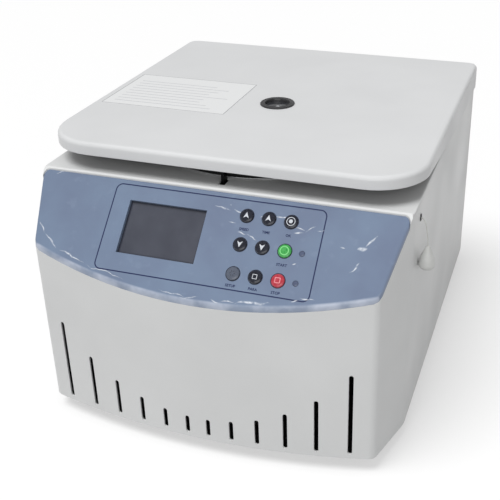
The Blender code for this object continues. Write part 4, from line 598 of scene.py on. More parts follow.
def panel_finish():
    finish = Finish("panel_moulding", ior=1.5, coat_roughness=0.12)
    place = finish.place(turn=(PANEL_TILT, 0, 0), at=PANEL_AT)
    across, along, _ = finish.axes(place)
    rim = rounded_box(finish, across, along, BORDER_MIDDLE, BORDER_HALF, BORDER_CORNER)
    line = finish.range(abs(rim), BORDER_LINE * 0.4, BORDER_LINE * 0.6, 1, 0)
    cloud = finish.noise(14, 3, place)
    patches = finish.noise(70, 4, place)
    # Painted highlight: the crease ridges, thinned out by noise, become near-white glints in the colour
    # below.
    folds = creases(finish, across, along, finish.noise(45, 2, place))
    painted_crease_glints = folds * finish.range(finish.noise(240, 3, place), 0.34, 0.56, 0.15, 1)
    tone = finish.mix(finish.range(cloud, 0.35, 0.65, 0, 1), linear(119, 136, 161), linear(111, 125, 151))
    tone = finish.mix(finish.range(patches, 0.60, 0.75, 0, 0.35), tone, linear(133, 149, 173))
    inked = finish.mix(line, tone, PRINT_NAVY)
    # Painted highlight: a pale band along the panel's rounded lower rim, at the film's edge, patchy with
    # noise.
    side, ahead, _ = finish.axes(finish.place(at=(0, BOW_MIDDLE_Y, 0)))
    reach = finish.length(side, ahead)
    hem_highlight = finish.range(reach, BOW_RADIUS - HEM_HIGHLIGHT_WIDE, BOW_RADIUS - HEM_HIGHLIGHT_WIDE / 2, 0, 1)
    hem_highlight = hem_highlight * finish.range(finish.noise(38, 3, place), 0.35, 0.6, 0.25, 0.9)
    inked = finish.mix(hem_highlight, inked, linear(186, 194, 210))
    ripple = finish.bump(finish.noise(60, 2, place), 0.0012, 0.35)
    # Painted highlight: near-white glints along the film's crease ridges, which also make it smoother there.
    finish.set(
        base_color=finish.mix(painted_crease_glints, inked, linear(238, 243, 250)),
        roughness=finish.range(painted_crease_glints, 0, 1, 0.34, 0.16),
        coat_weight=finish.spread(cloud, 0.35, 0.75),
        normal=finish.bump(painted_crease_glints, 0.0006, 0.7, Normal=ripple),
    )
    return finish


def printed_words(name, words, tall, thick, place):
    """Captions as one thin mesh, centred on their places on a plane."""
    shape = bmesh.new()
    for text, u, v in words:
        curve = bpy.data.curves.new(name, "FONT")
        curve.body = text
        curve.size = tall
        curve.extrude = thick / 2
        curve.resolution_u = 3
        curve.offset = tall * STROKE_SHARE
        curve.align_x = "CENTER"
        curve.align_y = "CENTER"
        mesh = evaluated(in_scene(name, curve), name)
        mesh.transform(place @ Matrix.Translation((u, v, thick / 2)))
        shape.from_mesh(mesh)
    return as_mesh(shape, name)


def ink_finish():
    """Screen-printed ink, thin in places."""
    finish = Finish("navy_print", ior=1.5)
    worn = finish.noise(900, 2)
    finish.set(
        base_color=finish.mix(finish.range(worn, 0.45, 0.7, 0, 0.5), PRINT_NAVY, linear(48, 60, 92)),
        roughness=finish.spread(worn, 0.35, 0.55),
    )
    return finish


refined("control_panel", panel_finish(), "fascia_plastic", edge=0.0004, name="panel_moulding")
shown(
    "panel_captions", printed_words("panel_captions", CAPTIONS, CAPTION_TALL, CAPTION_THICK, PANEL_PLACE),
    ink_finish(), "root", "fascia_plastic",
)


# The display: a clear window held behind the panel, and under it a liquid crystal module in a dark frame,
# which is grey when it is off.
VIEW_MIDDLE = (-0.0509, -0.0543)
VIEW_HALF = (0.0455, 0.0302)
VIEW_CORNER = 0.0015


def display_finish():
    """Dark glass over a grey liquid crystal layer, with painted shade that darkens it towards the rim of its
    recess.
    """
    finish = Finish("display_glass", ior=1.52, coat_weight=0.35, coat_roughness=0.06)
    place = finish.place(turn=(PANEL_TILT, 0, 0), at=PANEL_AT)
    across, along, _ = finish.axes(place)
    rim = rounded_box(finish, across, along, VIEW_MIDDLE, VIEW_HALF, VIEW_CORNER)
    haze = finish.noise(30, 3, place)
    layer = finish.mix(finish.range(haze, 0.35, 0.65, 0, 1), linear(74, 77, 88), linear(66, 69, 80))
    # Painted shade: the layer darkens over its last three millimetres towards the rim of the recess.
    return finish.worn(
        (finish.range(rim, -0.0030, -0.0008, 0, 1), layer, linear(54, 57, 68)),
        (haze, 0.16, 0.26), (haze, 0.0004, 0.15),
    )


refined("display_window", display_finish(), "display_glass", edge=0.0003, name="display_glass")


# The nine keys: moulded domes in round holes of the panel, which rise two millimetres and a half out of it.
# Their signs are inlays of another colour, just proud of the domes. Start is green and stop is red.
KEY_TURNS = 64
# Radius and height above the panel of a key's outline, from the dome's middle to the end of its stem.
KEY_OUTLINE = (
    (0, 0.00250), (0.0018, 0.00246), (0.0036, 0.00231), (0.0050, 0.00208), (0.0060, 0.00177),
    (0.0067, 0.00138), (0.0071, 0.00092), (0.00725, 0.00040), (0.00725, -0.0043), (0.00855, -0.0043),
    (0.00855, -0.0058), (0.0030, -0.0058), (0.0030, -0.0127), (0, -0.0127),
)
SIGN_THICK = 0.0007
SIGN_PROUD = 0.00006
EDGE_DROP = 0.0003
ARROW = ((0, 0.0037), (0.0031, -0.0031), (0, -0.0013), (-0.0031, -0.0031))
TARGET_DOT = 0.0021
DOT = ring_points(0.0006, 12)
DOT_PLACES = ring_points(0.0024, 6)
# The signs that are plain plates, with the plan points of each plate.
PLATE_SIGNS = {
    "up": [ARROW],
    "down": [[(-x, -y) for x, y in ARROW]],
    "target": [ring_points(TARGET_DOT)],
    "dots": [[(x + dx, y + dy) for dx, dy in DOT] for x, y in DOT_PLACES],
}
# The outer and the inner radius of the round bands, and half the side and the corner of the square ones.
ROUND_SIGNS = {"target": (0.0048, 0.0041), "ring": (0.0050, 0.0038)}
SQUARE_SIGNS = {"frame": ((0.0031, 0.0008), (0.0022, 0.0005)), "block": ((0.0026, 0.0006), (0.0020, 0.0004))}
KEYS = (
    ("button_speed_up", 0.0403, -0.0240, "dark", "up"),
    ("button_time_up", 0.0649, -0.0240, "dark", "up"),
    ("button_ok", 0.0895, -0.0240, "dark", "target"),
    ("button_speed_down", 0.0403, -0.0560, "dark", "down"),
    ("button_time_down", 0.0649, -0.0560, "dark", "down"),
    ("button_start", 0.0895, -0.0560, "green", "ring"),
    ("button_setup", 0.0403, -0.0880, "grey", "dots"),
    ("button_parameter", 0.0649, -0.0880, "dark", "block"),
    ("button_stop", 0.0895, -0.0880, "red", "frame"),
)


def key_finish(name, colour, pale):
    """Glossy moulded plastic with a faint bloom from the mould."""
    finish = Finish(name, ior=1.5, coat_roughness=0.1)
    bloom = finish.noise(300, 3)
    finish.set(
        base_color=finish.mix(finish.range(bloom, 0.4, 0.75, 0, 0.5), colour, pale),
        roughness=finish.spread(bloom, 0.22, 0.36),
        coat_weight=finish.spread(bloom, 0.5, 0.8),
        normal=finish.bump(finish.noise(1200), 0.00003),
    )
    return finish


def add_outline(shape, points, low, high):
    """Adds an upright prism over these plan points."""
    bottom, top = ([shape.verts.new((x, y, z)) for x, y in points] for z in (low, high))
    shape.faces.new(bottom[::-1])
    shape.faces.new(top)
    add_belt(shape, bottom, top)


def add_band(shape, outer, inner, low, high):
    """Adds a flat band between two plan outlines with the same number of points."""
    places = ((outer, low), (outer, high), (inner, high), (inner, low))
    rings = [[shape.verts.new((x, y, z)) for x, y in ring] for ring, z in places]
    for first, second in zip(rings, rings[1:] + rings[:1]):
        add_belt(shape, first, second)


def round_square(half, corner, steps=5):
    """Plan points of a square with round corners."""
    points = []
    for quarter, (sx, sy) in enumerate(((1, 1), (-1, 1), (-1, -1), (1, -1))):
        for step in range(steps + 1):
            angle = math.pi / 2 * (quarter + step / steps)
            middle = half - corner
            points.append((sx * middle + corner * math.cos(angle), sy * middle + corner * math.sin(angle)))
    return points


def add_sign(shape, sign):
    """Adds the sign of a key to its dome. The round bands lie lower, nearer to the dome's edge."""
    low, high = KEY_OUTLINE[0][1] - SIGN_THICK, KEY_OUTLINE[0][1] + SIGN_PROUD
    for points in PLATE_SIGNS.get(sign, ()):
        add_outline(shape, points, low, high)
    if sign in ROUND_SIGNS:
        add_band(shape, *map(ring_points, ROUND_SIGNS[sign]), low - EDGE_DROP, high - EDGE_DROP)
    if sign in SQUARE_SIGNS:
        add_band(shape, *(round_square(*square) for square in SQUARE_SIGNS[sign]), low, high)


def key_mesh(name, u, v, sign):
    """A key with its sign, in its place on the panel. The sign's faces take the second material."""
    shape = bmesh.new()
    add_turned(shape, KEY_OUTLINE, turns=KEY_TURNS)
    bmesh.ops.recalc_face_normals(shape, faces=shape.faces)
    cap = len(shape.faces)
    add_sign(shape, sign)
    shape.faces.ensure_lookup_table()
    inlay = shape.faces[cap:]
    bmesh.ops.recalc_face_normals(shape, faces=inlay)
    for face in inlay:
        face.material_index = 1
    shape.transform(PANEL_PLACE @ Matrix.Translation((u, v, 0)))
    return as_mesh(shape, name)


KEY_FINISHES = {
    "dark": key_finish("dark_key_moulding", linear(14, 18, 34), linear(28, 34, 52)),
    "grey": key_finish("grey_key_moulding", linear(88, 95, 110), linear(68, 75, 90)),
    "green": key_finish("green_key_moulding", linear(52, 158, 70), linear(96, 190, 104)),
    "red": key_finish("red_key_moulding", linear(180, 46, 62), linear(205, 80, 92)),
}
SIGN_FINISHES = {
    "dark": key_finish("pale_sign_print", linear(214, 218, 224), linear(190, 196, 206)),
    "grey": key_finish("dark_sign_print", linear(58, 62, 74), linear(70, 74, 86)),
    "green": key_finish("light_green_sign_print", linear(132, 220, 138), linear(108, 200, 116)),
    "red": key_finish("pale_red_sign_print", linear(236, 150, 156), linear(222, 128, 138)),
}
for name, u, v, colour, sign in KEYS:
    mesh = key_mesh(name + "_cap", u, v, sign)
    mesh.materials.append(KEY_FINISHES[colour].material)
    mesh.materials.append(SIGN_FINISHES[colour].material)
    shown(name + "_cap", mesh, None, name, "button_plastic", name)


# Painted shade round the keys: nine thin black rings, laid on the panel round the keys' holes, that stand
# in for the shade in the gap round each key.
SHADE_RING_RADIUS = 0.00778
SHADE_RING_WIDE = 0.00062
SHADE_RING_THICK = 0.0003


class Pattern(Graph):
    """A Geometry Nodes tree being made, with named inputs for its sizes."""

    KINDS = {int: "NodeSocketInt", float: "NodeSocketFloat", tuple: "NodeSocketVector"}

    def __init__(self, name, **sizes):
        self.tree = bpy.data.node_groups.new(name, "GeometryNodeTree")
        self.sizes = sizes
        self.sockets = {}
        for way in ("INPUT", "OUTPUT"):
            self.tree.interface.new_socket("Geometry", in_out=way, socket_type="NodeSocketGeometry")
        for size, value in sizes.items():
            made = self.tree.interface.new_socket(size, in_out="INPUT", socket_type=self.KINDS[type(value)])
            self.sockets[size] = made.identifier
        self.given = self.tree.nodes.new("NodeGroupInput")

    def size(self, name):
        return Value(self, self.given.outputs[name])

    def box(self, size, middle):
        cube = self.node("GeometryNodeMeshCube", sockets={"Size": size})
        return self.node("GeometryNodeTransform", sockets={"Geometry": cube, "Translation": middle})

    def scattered(self, part, points=None, **sockets):
        """Puts the part on every point, of the mesh that the tree runs on if no others are given."""
        sockets = {"Points": points or self.size("Geometry"), "Instance": part, **sockets}
        return self.node("GeometryNodeInstanceOnPoints", sockets=sockets)

    def spun(self, parts, turn):
        """Turns each of the parts round its own upright line."""
        sockets = {"Instances": parts, "Rotation": self.vector(z=turn)}
        return self.node("GeometryNodeRotateInstances", sockets=sockets)

    def mesh(self, name, base, parts, finish):
        """Ends the tree with these parts, made real and in their finish, and gives the mesh that it makes."""
        real = self.node("GeometryNodeRealizeInstances", sockets={"Geometry": parts})
        sockets = {"Geometry": real, "Material": finish.material}
        dressed = self.node("GeometryNodeSetMaterial", sockets=sockets)
        self.tree.links.new(dressed.socket, self.tree.nodes.new("NodeGroupOutput").inputs[0])
        work = in_scene(name, base)
        modifier = work.modifiers.new(name, "NODES")
        modifier.node_group = self.tree
        for size, value in self.sizes.items():
            modifier[self.sockets[size]] = value
        return evaluated(work, name)


def dots_mesh(name, places):
    """A mesh with nothing but these points."""
    mesh = bpy.data.meshes.new(name)
    mesh.from_pydata([tuple(place) for place in places], [], [])
    return mesh


def key_gaskets(finish):
    pattern = Pattern("key_gaskets", radius=SHADE_RING_RADIUS, wide=SHADE_RING_WIDE, thick=SHADE_RING_THICK)
    sockets = {"Resolution": 64, "Radius": pattern.size("radius")}
    ring = pattern.node("GeometryNodeCurvePrimitiveCircle", sockets=sockets)
    sockets = {"Width": pattern.size("wide"), "Height": pattern.size("thick")}
    section = pattern.node("GeometryNodeCurvePrimitiveQuadrilateral", sockets=sockets)
    ring = pattern.node("GeometryNodeCurveToMesh", sockets={"Curve": ring, "Profile Curve": section})
    places = dots_mesh("key_gaskets", [(u, v, 0) for _, u, v, _, _ in KEYS])
    mesh = pattern.mesh("key_gaskets", places, pattern.scattered(ring), finish)
    mesh.transform(PANEL_PLACE)
    return mesh


# Painted shade: the rings' near-black stands in for the shade round each key.
shade_ring_black = key_finish("shade_ring_black", linear(26, 30, 44), linear(44, 50, 66))
shown("key_gaskets", key_gaskets(shade_ring_black), None, "root", "rubber", smooth=30)


# Two indicator windows: flush round lenses of tinted clear plastic, held in the panel from behind. They are
# dark while they are off.
LENS_OUTLINE = (
    (0, 0.00080), (0.0012, 0.00074), (0.0021, 0.00056), (0.0027, 0.00028), (0.0030, -0.0001),
    (0.0030, -0.0043), (0.0039, -0.0043), (0.0039, -0.0053), (0, -0.0053),
)
LENSES = {"indicator_mode": (0.1082, -0.0561), "indicator_run": (0.1082, -0.0879)}

lens_finish = key_finish("indicator_lens_tint", linear(84, 94, 120), linear(70, 78, 104))
for name, (u, v) in LENSES.items():
    mesh = turned_mesh(name + "_lens", LENS_OUTLINE, turns=40)
    mesh.transform(PANEL_PLACE @ Matrix.Translation((u, v, 0)))
    shown(name + "_lens", mesh, lens_finish, "root", "display_glass", name)


# The lid: one moulded white shell with round front corners and a wedge-shaped skirt at its rear, hinged at
# the back. A blank white sticker with a thin grey frame and a few faint ruled lines lies on its left half.
LID_EDGE = 0.0006
LID_TOP = 0.3224
STICKER_X = (-0.209, -0.044)
STICKER_Y = (-0.050, 0.069)
STICKER_THICK = 0.00012
FRAME_INSET = 0.0010
FRAME_LINE = 0.0008
FRAME_CORNER = 0.0006
RULED_ROWS = 9
RULED_PITCH = 0.0098
RULED_FIRST = (-0.197, -0.036)
RULED_LONG = (0.105, 0.138)
RULED_LINE = 0.0011


def ruled_lines(finish):
    """Faint ruled lines, each of its own length, one under the other."""
    pattern = Pattern("ruled_lines", line=RULED_LINE, shortest=RULED_LONG[0], longest=RULED_LONG[1], seed=7)
    spread = {2: pattern.size("shortest"), 3: pattern.size("longest"), "Seed": pattern.size("seed")}
    long = pattern.node("FunctionNodeRandomValue", {"data_type": "FLOAT"}, spread, output=1)
    size = pattern.vector(long, pattern.size("line"), STICKER_THICK / 3)
    left, front = RULED_FIRST
    top = LID_TOP + STICKER_THICK
    places = [(left, front + RULED_PITCH * row, top) for row in range(RULED_ROWS)]
    strokes = pattern.scattered(pattern.box((1, 1, 1), (0.5, 0, 0)), Scale=size)
    return pattern.mesh("sticker_lines", dots_mesh("sticker_lines", places), strokes, finish)


def sticker_finish():
    """Matt white paper foil with a printed frame, a little lifted and dulled."""
    finish = Finish("sticker_foil", ior=1.45)
    place = finish.place()
    across, along, _ = finish.axes(place)
    middle = (sum(STICKER_X) / 2, sum(STICKER_Y) / 2)
    half = [(high - low) / 2 - FRAME_INSET for low, high in (STICKER_X, STICKER_Y)]
    rim = rounded_box(finish, across, along, middle, half, FRAME_CORNER)
    frame_line = finish.range(abs(rim), FRAME_LINE * 0.3, FRAME_LINE * 0.8, 1, 0)
    fibre = finish.noise(500, 4, place)
    paper = finish.mix(fibre, linear(236, 237, 237), linear(228, 229, 230))
    return finish.worn(
        (frame_line * 0.8, paper, linear(110, 112, 116)),
        (fibre, 0.45, 0.6), (finish.noise(35, 2, place), 0.0004, 0.25),
    )


def print_finish(name, first, second, scale, low, high):
    """Printed ink, thin in places."""
    finish = Finish(name, ior=1.45)
    worn = finish.noise(scale, 3)
    finish.set(base_color=finish.mix(worn, first, second), roughness=finish.spread(worn, low, high))
    return finish


lid_gloss = painted_steel("lid_moulding_gloss", linear(224, 225, 226))
refined("lid_shell", lid_gloss, "lid_plastic", LID_EDGE, name="lid_moulding")
sticker = bmesh.new()
sticker_corners = [(STICKER_X[x], STICKER_Y[y]) for x, y in ((0, 0), (1, 0), (1, 1), (0, 1))]
add_outline(sticker, sticker_corners, LID_TOP - STICKER_THICK, LID_TOP + STICKER_THICK)
shown("lid_sticker", mesh_from(sticker, "lid_sticker"), sticker_finish(), "lid", "lid_plastic")
grey_ink = print_finish("faint_grey_print", linear(176, 177, 182), linear(200, 201, 204), 700, 0.45, 0.6)
shown("sticker_lines", ruled_lines(grey_ink), None, "lid", "lid_plastic")


# The inspection window: a black moulded bezel with a stepped rim, pushed through the lid, and a round pane
# of clear plastic that rests on its ledge. A speed meter is held over it.
WINDOW_AT = (0.005, 0.0064, 0)
BEZEL_OUTLINE = (
    (0.0150, 0.3234), (0.0156, 0.3243), (0.0176, 0.3243), (0.0180, 0.3240), (0.0184, 0.3243),
    (0.0202, 0.3242), (0.0210, 0.3239), (0.0214, 0.3233), (0.0215, 0.3227), (0.0175, 0.3227),
    (0.0175, 0.3023), (0.0135, 0.3023), (0.0135, 0.3176), (0.0150, 0.3176), (0.0150, 0.3234),
)
PANE_OUTLINE = ((0, 0.3209), (0.0143, 0.3209), (0.0147, 0.3206), (0.0147, 0.3179), (0, 0.3179))


def black_moulding(name, light, rough):
    """Black moulded plastic with a fine spark-eroded grain and paler rubbed spots."""
    finish = Finish(name, ior=1.5)
    grain = finish.noise(1500, 2)
    rubbed = finish.range(finish.noise(90, 4), 0.55, 0.8, 0, 1)
    finish.set(
        base_color=finish.mix(rubbed, grey(light, 2), grey(light + 22, 2)),
        roughness=finish.range(rubbed, 0, 1, rough, rough + 0.16),
        normal=finish.bump(grain, 0.00005),
    )
    return finish


def pane_finish():
    """Clear smoked plastic that has gone hazy, with bright glints painted on it as reflections."""
    finish = Finish("window_pane", ior=1.49, transmission_weight=0.35, coat_weight=0.6)
    # Painted reflection: stretched noise gives bright slanting glints on the pane.
    glint_stretch = finish.place(turn=(0, 0, 0.7), scale=(1, 2.2, 1))
    painted_glints = finish.range(finish.noise(75, 2, glint_stretch), 0.54, 0.62, 0, 1)
    haze = finish.noise(240, 3)
    dim = finish.mix(haze, linear(52, 54, 58), linear(84, 86, 92))
    return finish.worn((painted_glints, dim, linear(226, 228, 232)), (haze, 0.06, 0.2), (painted_glints, 0.0002, 0.3))


bezel_black = black_moulding("bezel_moulding", 52, 0.24)
turned("window_rim", BEZEL_OUTLINE, WINDOW_AT, 72, bezel_black, "lid", "black_plastic", "window_bezel")
pane = pane_finish()
turned("window_pane", PANE_OUTLINE, WINDOW_AT, 72, pane, "lid", "display_glass", "lid_window", smooth=40)


# Under the lid: a pressed steel liner, screwed to the lid's bosses, whose near-black colour is painted
# shade for the dark gap under the lid, and a black rubber ring that seals the chamber.
LINER_SCREWS = [(x, y, 0.3090) for y in (-0.110, 0.165) for x in (-0.186, 0.186)]
SEAL_OUTLINE = (
    (0.1545, 0.3020), (0.1545, 0.2913), (0.1539, 0.2907), (0.1529, 0.2902), (0.1520, 0.2901),
    (0.1511, 0.2902), (0.1501, 0.2907), (0.1495, 0.2913), (0.1495, 0.3020), (0.1545, 0.3020),
)
ROTOR_AT = (0, 0.0064, 0)
# How many of the fine turning rings go to a metre.
RING_SCALE = 1100
SCREW_SIDES = 20
# A screw's crown and the two bars of its cross, as shares of its radius and height, and the lift of the bars.
CROWN_SHARE = (0.78, 1.35)
CROSS_SHARES = ((1.15, 0.24), (0.24, 1.15))
CROSS_LIFT = 0.75


def black_coating(name):
    """Near-black colour on sheet steel, as painted shade: an orange-peel skin with dull rubbed patches and
    fine dust.
    """
    finish = Finish(name, ior=1.5)
    dust = finish.range(finish.noise(260, 5), 0.60, 0.80, 0, 0.6)
    return finish.worn(
        (dust, grey(30, 2), grey(70)),
        (finish.noise(24, 4), 0.38, 0.56), (finish.noise(900, 2), 0.00006),
    )


def turned_steel(name, light, rough, middle=ROTOR_AT):
    """Metal turned or spun round an axis: fine rings, with soft stains."""
    finish = Finish(name, metallic=1.0)
    x, y, z = finish.axes(finish.place(at=middle))
    rings = finish.noise(1, 2, finish.vector(finish.length(x, y) * RING_SCALE, z * RING_SCALE))
    stains = finish.noise(26, 4)
    return finish.worn(
        (stains, grey(light, 1), linear(light - 24, light - 23, light - 22)),
        (rings * 0.6 + stains * 0.4, rough - 0.07, rough + 0.12), (rings, 0.000006),
    )


def black_rubber(name, light):
    """Matt black rubber with a fine skin, and dust that clings to it."""
    finish = Finish(name, ior=1.5)
    skin = finish.noise(700, 3)
    dust = finish.range(finish.noise(120, 5), 0.52, 0.74, 0, 0.8)
    return finish.worn((dust, grey(light), grey(light + 42, -2)), (skin, 0.62, 0.86), (skin, 0.00008))


def screws(name, places, facing, body, slot, radius=0.003, height=0.0016):
    """Cross-recessed pan heads at these places, each turned its own way by a fixed seed."""
    pattern = Pattern(name, radius=radius, height=height, facing=facing, seed=11)
    wide, tall = pattern.size("radius"), pattern.size("height")
    sockets = {"Vertices": SCREW_SIDES, "Radius": wide, "Depth": tall}
    disc = pattern.node("GeometryNodeMeshCylinder", sockets=sockets)
    sockets = {"Vertices": SCREW_SIDES, "Radius": wide * CROWN_SHARE[0], "Depth": tall * CROWN_SHARE[1]}
    crown = pattern.node("GeometryNodeMeshCylinder", sockets=sockets)
    head = pattern.node("GeometryNodeMeshBoolean", {"operation": "UNION"}, {"Mesh 2": disc})
    pattern.tree.links.new(crown.socket, head.socket.node.inputs["Mesh 2"])
    lift = pattern.vector(z=tall * CROSS_LIFT)
    for long, narrow in CROSS_SHARES:
        bar = pattern.box(pattern.vector(wide * long, wide * narrow, tall), lift)
        sockets = {"Mesh 1": head, "Mesh 2": bar}
        head = pattern.node("GeometryNodeMeshBoolean", {"operation": "DIFFERENCE"}, sockets)
    aim = pattern.node("FunctionNodeAlignRotationToVector", {"axis": "Z"}, {"Vector": pattern.size("facing")})
    heads = pattern.scattered(head, Rotation=aim)
    half_turn = {3: math.pi, "Seed": pattern.size("seed")}
    heads = pattern.spun(heads, pattern.node("FunctionNodeRandomValue", {"data_type": "FLOAT"}, half_turn, 1))
    mesh = pattern.mesh(name, dots_mesh(name, places), heads, screw_steel)
    return shown(name, mesh, None, body, slot, smooth=30)


screw_steel = turned_steel("screw_zinc", 168, 0.32)
seal_rubber = black_rubber("seal_rubber", 20)
# The liner's near-black is painted shade for the gap under the lid.
refined("lid_liner", black_coating("liner_shade_black"), "steel", edge=0.0005, name="liner_sheet")
turned("seal_ring", SEAL_OUTLINE, ROTOR_AT, 144, seal_rubber, "lid", "rubber", "lid_seal")
screws("liner_screws", LINER_SCREWS, (0, 0, -1), "lid", "steel")


# The hinges: two stamped, zinc-plated steel brackets screwed to the deck, two arms of the same sheet under
# the lid, and the riveted steel pins that join them.
HINGE_EDGE = 0.0003
PIN_EDGE = 0.0004
BRACKET_SCREWS = ((-0.150, 0.2195, 0.2905), (0.150, 0.2195, 0.2905))


def zinc_plate(name, light, warm=0, rough=0.33):
    """Zinc on sheet steel: dull crystals of several greys, with rubbed marks."""
    finish = Finish(name, metallic=1.0)
    sockets = {"Scale": 160, "Vector": finish.place()}
    crystals = finish.node("ShaderNodeTexVoronoi", {"feature": "F1"}, sockets, "Color")
    shade, _, _ = finish.axes(crystals)
    marks = finish.noise(70, 4)
    return finish.worn(
        (shade * 0.5 + marks * 0.5, grey(light, -warm), grey(light - 34, -warm)),
        (marks, rough - 0.05, rough + 0.15), (marks, 0.00004),
    )


hinge_zinc = zinc_plate("hinge_zinc", 186)
pin_steel = turned_steel("hinge_pin_steel", 182, 0.25)
for side in ("left", "right"):
    refined(f"hinge_bracket_{side}", hinge_zinc, "steel", HINGE_EDGE)
    refined(f"hinge_arm_{side}", hinge_zinc, "steel", HINGE_EDGE)
    refined(f"hinge_pin_{side}", pin_steel, "steel", PIN_EDGE)
screws("bracket_screws", BRACKET_SCREWS, (0, 0, 1), "root", "steel", radius=0.0026, height=0.0014)


# The lid lock: a blackened steel striker screwed under the lid, and behind the deck's slot a black moulded
# body with the bolt and the solenoid that draws it.
def blackened_steel(name, light):
    """Steel with a black oxide skin, worn grey at its high spots."""
    finish = Finish(name, metallic=0.9)
    worn = finish.range(finish.noise(140, 4), 0.58, 0.75, 0, 1)
    finish.set(
        base_color=finish.mix(worn, grey(light, 2), grey(light + 40)),
        roughness=finish.range(worn, 0, 1, 0.48, 0.3),
        normal=finish.bump(finish.noise(600, 2), 0.00004),
    )
    return finish


lock_black = black_moulding("lock_moulding", 30, 0.42)
refined("lid_striker", blackened_steel("striker_oxide", 16), "steel", edge=0.0004)
refined("lock_body", lock_black, "black_plastic", edge=0.0005)
refined("lock_bolt", turned_steel("bolt_steel", 186, 0.22), "steel", edge=0.0006)
refined("lock_solenoid", zinc_plate("solenoid_zinc", 176, warm=60), "steel", edge=0.0006)


# The chamber: a bowl spun from stainless sheet with a rolled rim, in a heavy steel guard ring that stands on
# the base.
BOWL_WALL = 0.0015
BOWL_INNER = 0.148
BOWL_FLOOR = 0.150
BOWL_CORNER = 0.022
BOWL_RIM_TOP = 0.2898
BOWL_RIM = 0.155
BOWL_HOLE = 0.024
CORNER_STEPS = 10


def arc_points(middle_radius, middle_height, radius, start, end, steps=CORNER_STEPS):
    """Points of an outline on a round corner, from one angle to another, in quarter turns."""
    points = []
    for step in range(steps + 1):
        angle = math.pi / 2 * (start + (end - start) * step / steps)
        points.append((middle_radius + radius * math.cos(angle), middle_height + radius * math.sin(angle)))
    return points


bend_radius = BOWL_INNER - BOWL_CORNER
bend_height = BOWL_FLOOR + BOWL_CORNER
rim_round = BOWL_WALL / 3
rim_middle = BOWL_RIM - rim_round
rim_foot = BOWL_RIM_TOP - BOWL_WALL
bowl_outline = [
    *arc_points(BOWL_INNER + BOWL_WALL, rim_foot, BOWL_WALL, 2, 1, 4),
    *arc_points(rim_middle, BOWL_RIM_TOP - rim_round, rim_round, 1, 0, 3),
    *arc_points(rim_middle, rim_foot + rim_round, rim_round, 0, -1, 3),
    (BOWL_INNER + BOWL_WALL, rim_foot),
    *arc_points(bend_radius, bend_height, BOWL_CORNER + BOWL_WALL, 0, -1),
    (BOWL_HOLE, BOWL_FLOOR - BOWL_WALL),
    (BOWL_HOLE, BOWL_FLOOR),
    *arc_points(bend_radius, bend_height, BOWL_CORNER, -1, 0),
    (BOWL_INNER, rim_foot),
]
bowl_steel = turned_steel("bowl_stainless", 212, 0.32)
turned("bowl_spun", bowl_outline, ROTOR_AT, 144, bowl_steel, "root", "steel", "chamber_bowl")
refined("chamber_guard", zinc_plate("guard_zinc", 150, rough=0.45), "steel", edge=0.0006)


# The drive: a ribbed cast motor on a round plate, three rubber dampers on the base, a rubber boot that
# closes the bowl's hole, and the ground shaft that carries the rotor.
DAMPER_PLACES = ((0, 0.0924), (-0.0745, -0.0366), (0.0745, -0.0366))
DAMPER_OUTLINE = (
    (0, 0.0450), (0.0115, 0.0450), (0.0120, 0.0445), (0.0120, 0.0425), (0.0112, 0.0405), (0.0101, 0.0375),
    (0.0095, 0.0326), (0.0101, 0.0278), (0.0112, 0.0248), (0.0120, 0.0228), (0.0120, 0.0208),
    (0.0115, 0.0203), (0, 0.0203),
)
BOOT_TOP = 0.1803
BOOT_FOOT = 0.1533
BOOT_FOLD = 0.0135
BOOT_MEAN = 0.0135
BOOT_WAVE = 0.003
BOOT_WALL = 0.0015
BOOT_STEPS = 32
BOOT_FLANGE = ((0.0335, 0.1518), (0.034, 0.1513), (0.034, 0.1503), (0.009, 0.1503))
SHAFT_OUTLINE = ((0, 0.258), (0.0072, 0.258), (0.008, 0.2572), (0.008, 0.1268), (0.0072, 0.126), (0, 0.126))


def bellows(inward):
    """Outer or inner side of the boot's folds, from the top down."""
    points = []
    for step in range(BOOT_STEPS + 1):
        height = BOOT_TOP + (BOOT_FOOT - BOOT_TOP) * step / BOOT_STEPS
        wave = BOOT_WAVE * math.cos(2 * math.pi * (height - BOOT_FOOT) / BOOT_FOLD)
        points.append((BOOT_MEAN - wave - inward, height))
    return points


def cast_metal(name):
    """Sand-cast aluminium under thin grey paint: a pebbled skin, darker in its hollows."""
    finish = Finish(name, metallic=0.55)
    pebbles = finish.noise(420, 3)
    pale, dark = linear(120, 121, 123), grey(90, 2)
    return finish.worn((finish.noise(30, 3), pale, dark), (pebbles, 0.42, 0.62), (pebbles, 0.0002))


drive_rubber = black_rubber("drive_rubber", 24)
boot_end = (BOOT_MEAN - BOOT_WAVE, BOOT_TOP)
boot_outline = [*bellows(0), *BOOT_FLANGE, *reversed(bellows(BOOT_WALL)), boot_end]
refined("motor", cast_metal("motor_casting"), "steel", edge=0.0008)
refined("motor_plate", zinc_plate("motor_plate_zinc", 166, rough=0.4), "steel", edge=0.0006)
for index, (x, y) in enumerate(DAMPER_PLACES, 1):
    name = f"damper_turned_{index}"
    turned(name, DAMPER_OUTLINE, (x, y, 0), 48, drive_rubber, "root", "rubber", f"damper_{index}")
turned("boot_bellows", boot_outline, ROTOR_AT, 96, drive_rubber, "root", "rubber", "shaft_boot", smooth=70)
shaft_steel = turned_steel("shaft_steel", 190, 0.18)
turned("shaft_ground", SHAFT_OUTLINE, ROTOR_AT, 64, shaft_steel, "rotor", "steel", "drive_shaft", smooth=40)


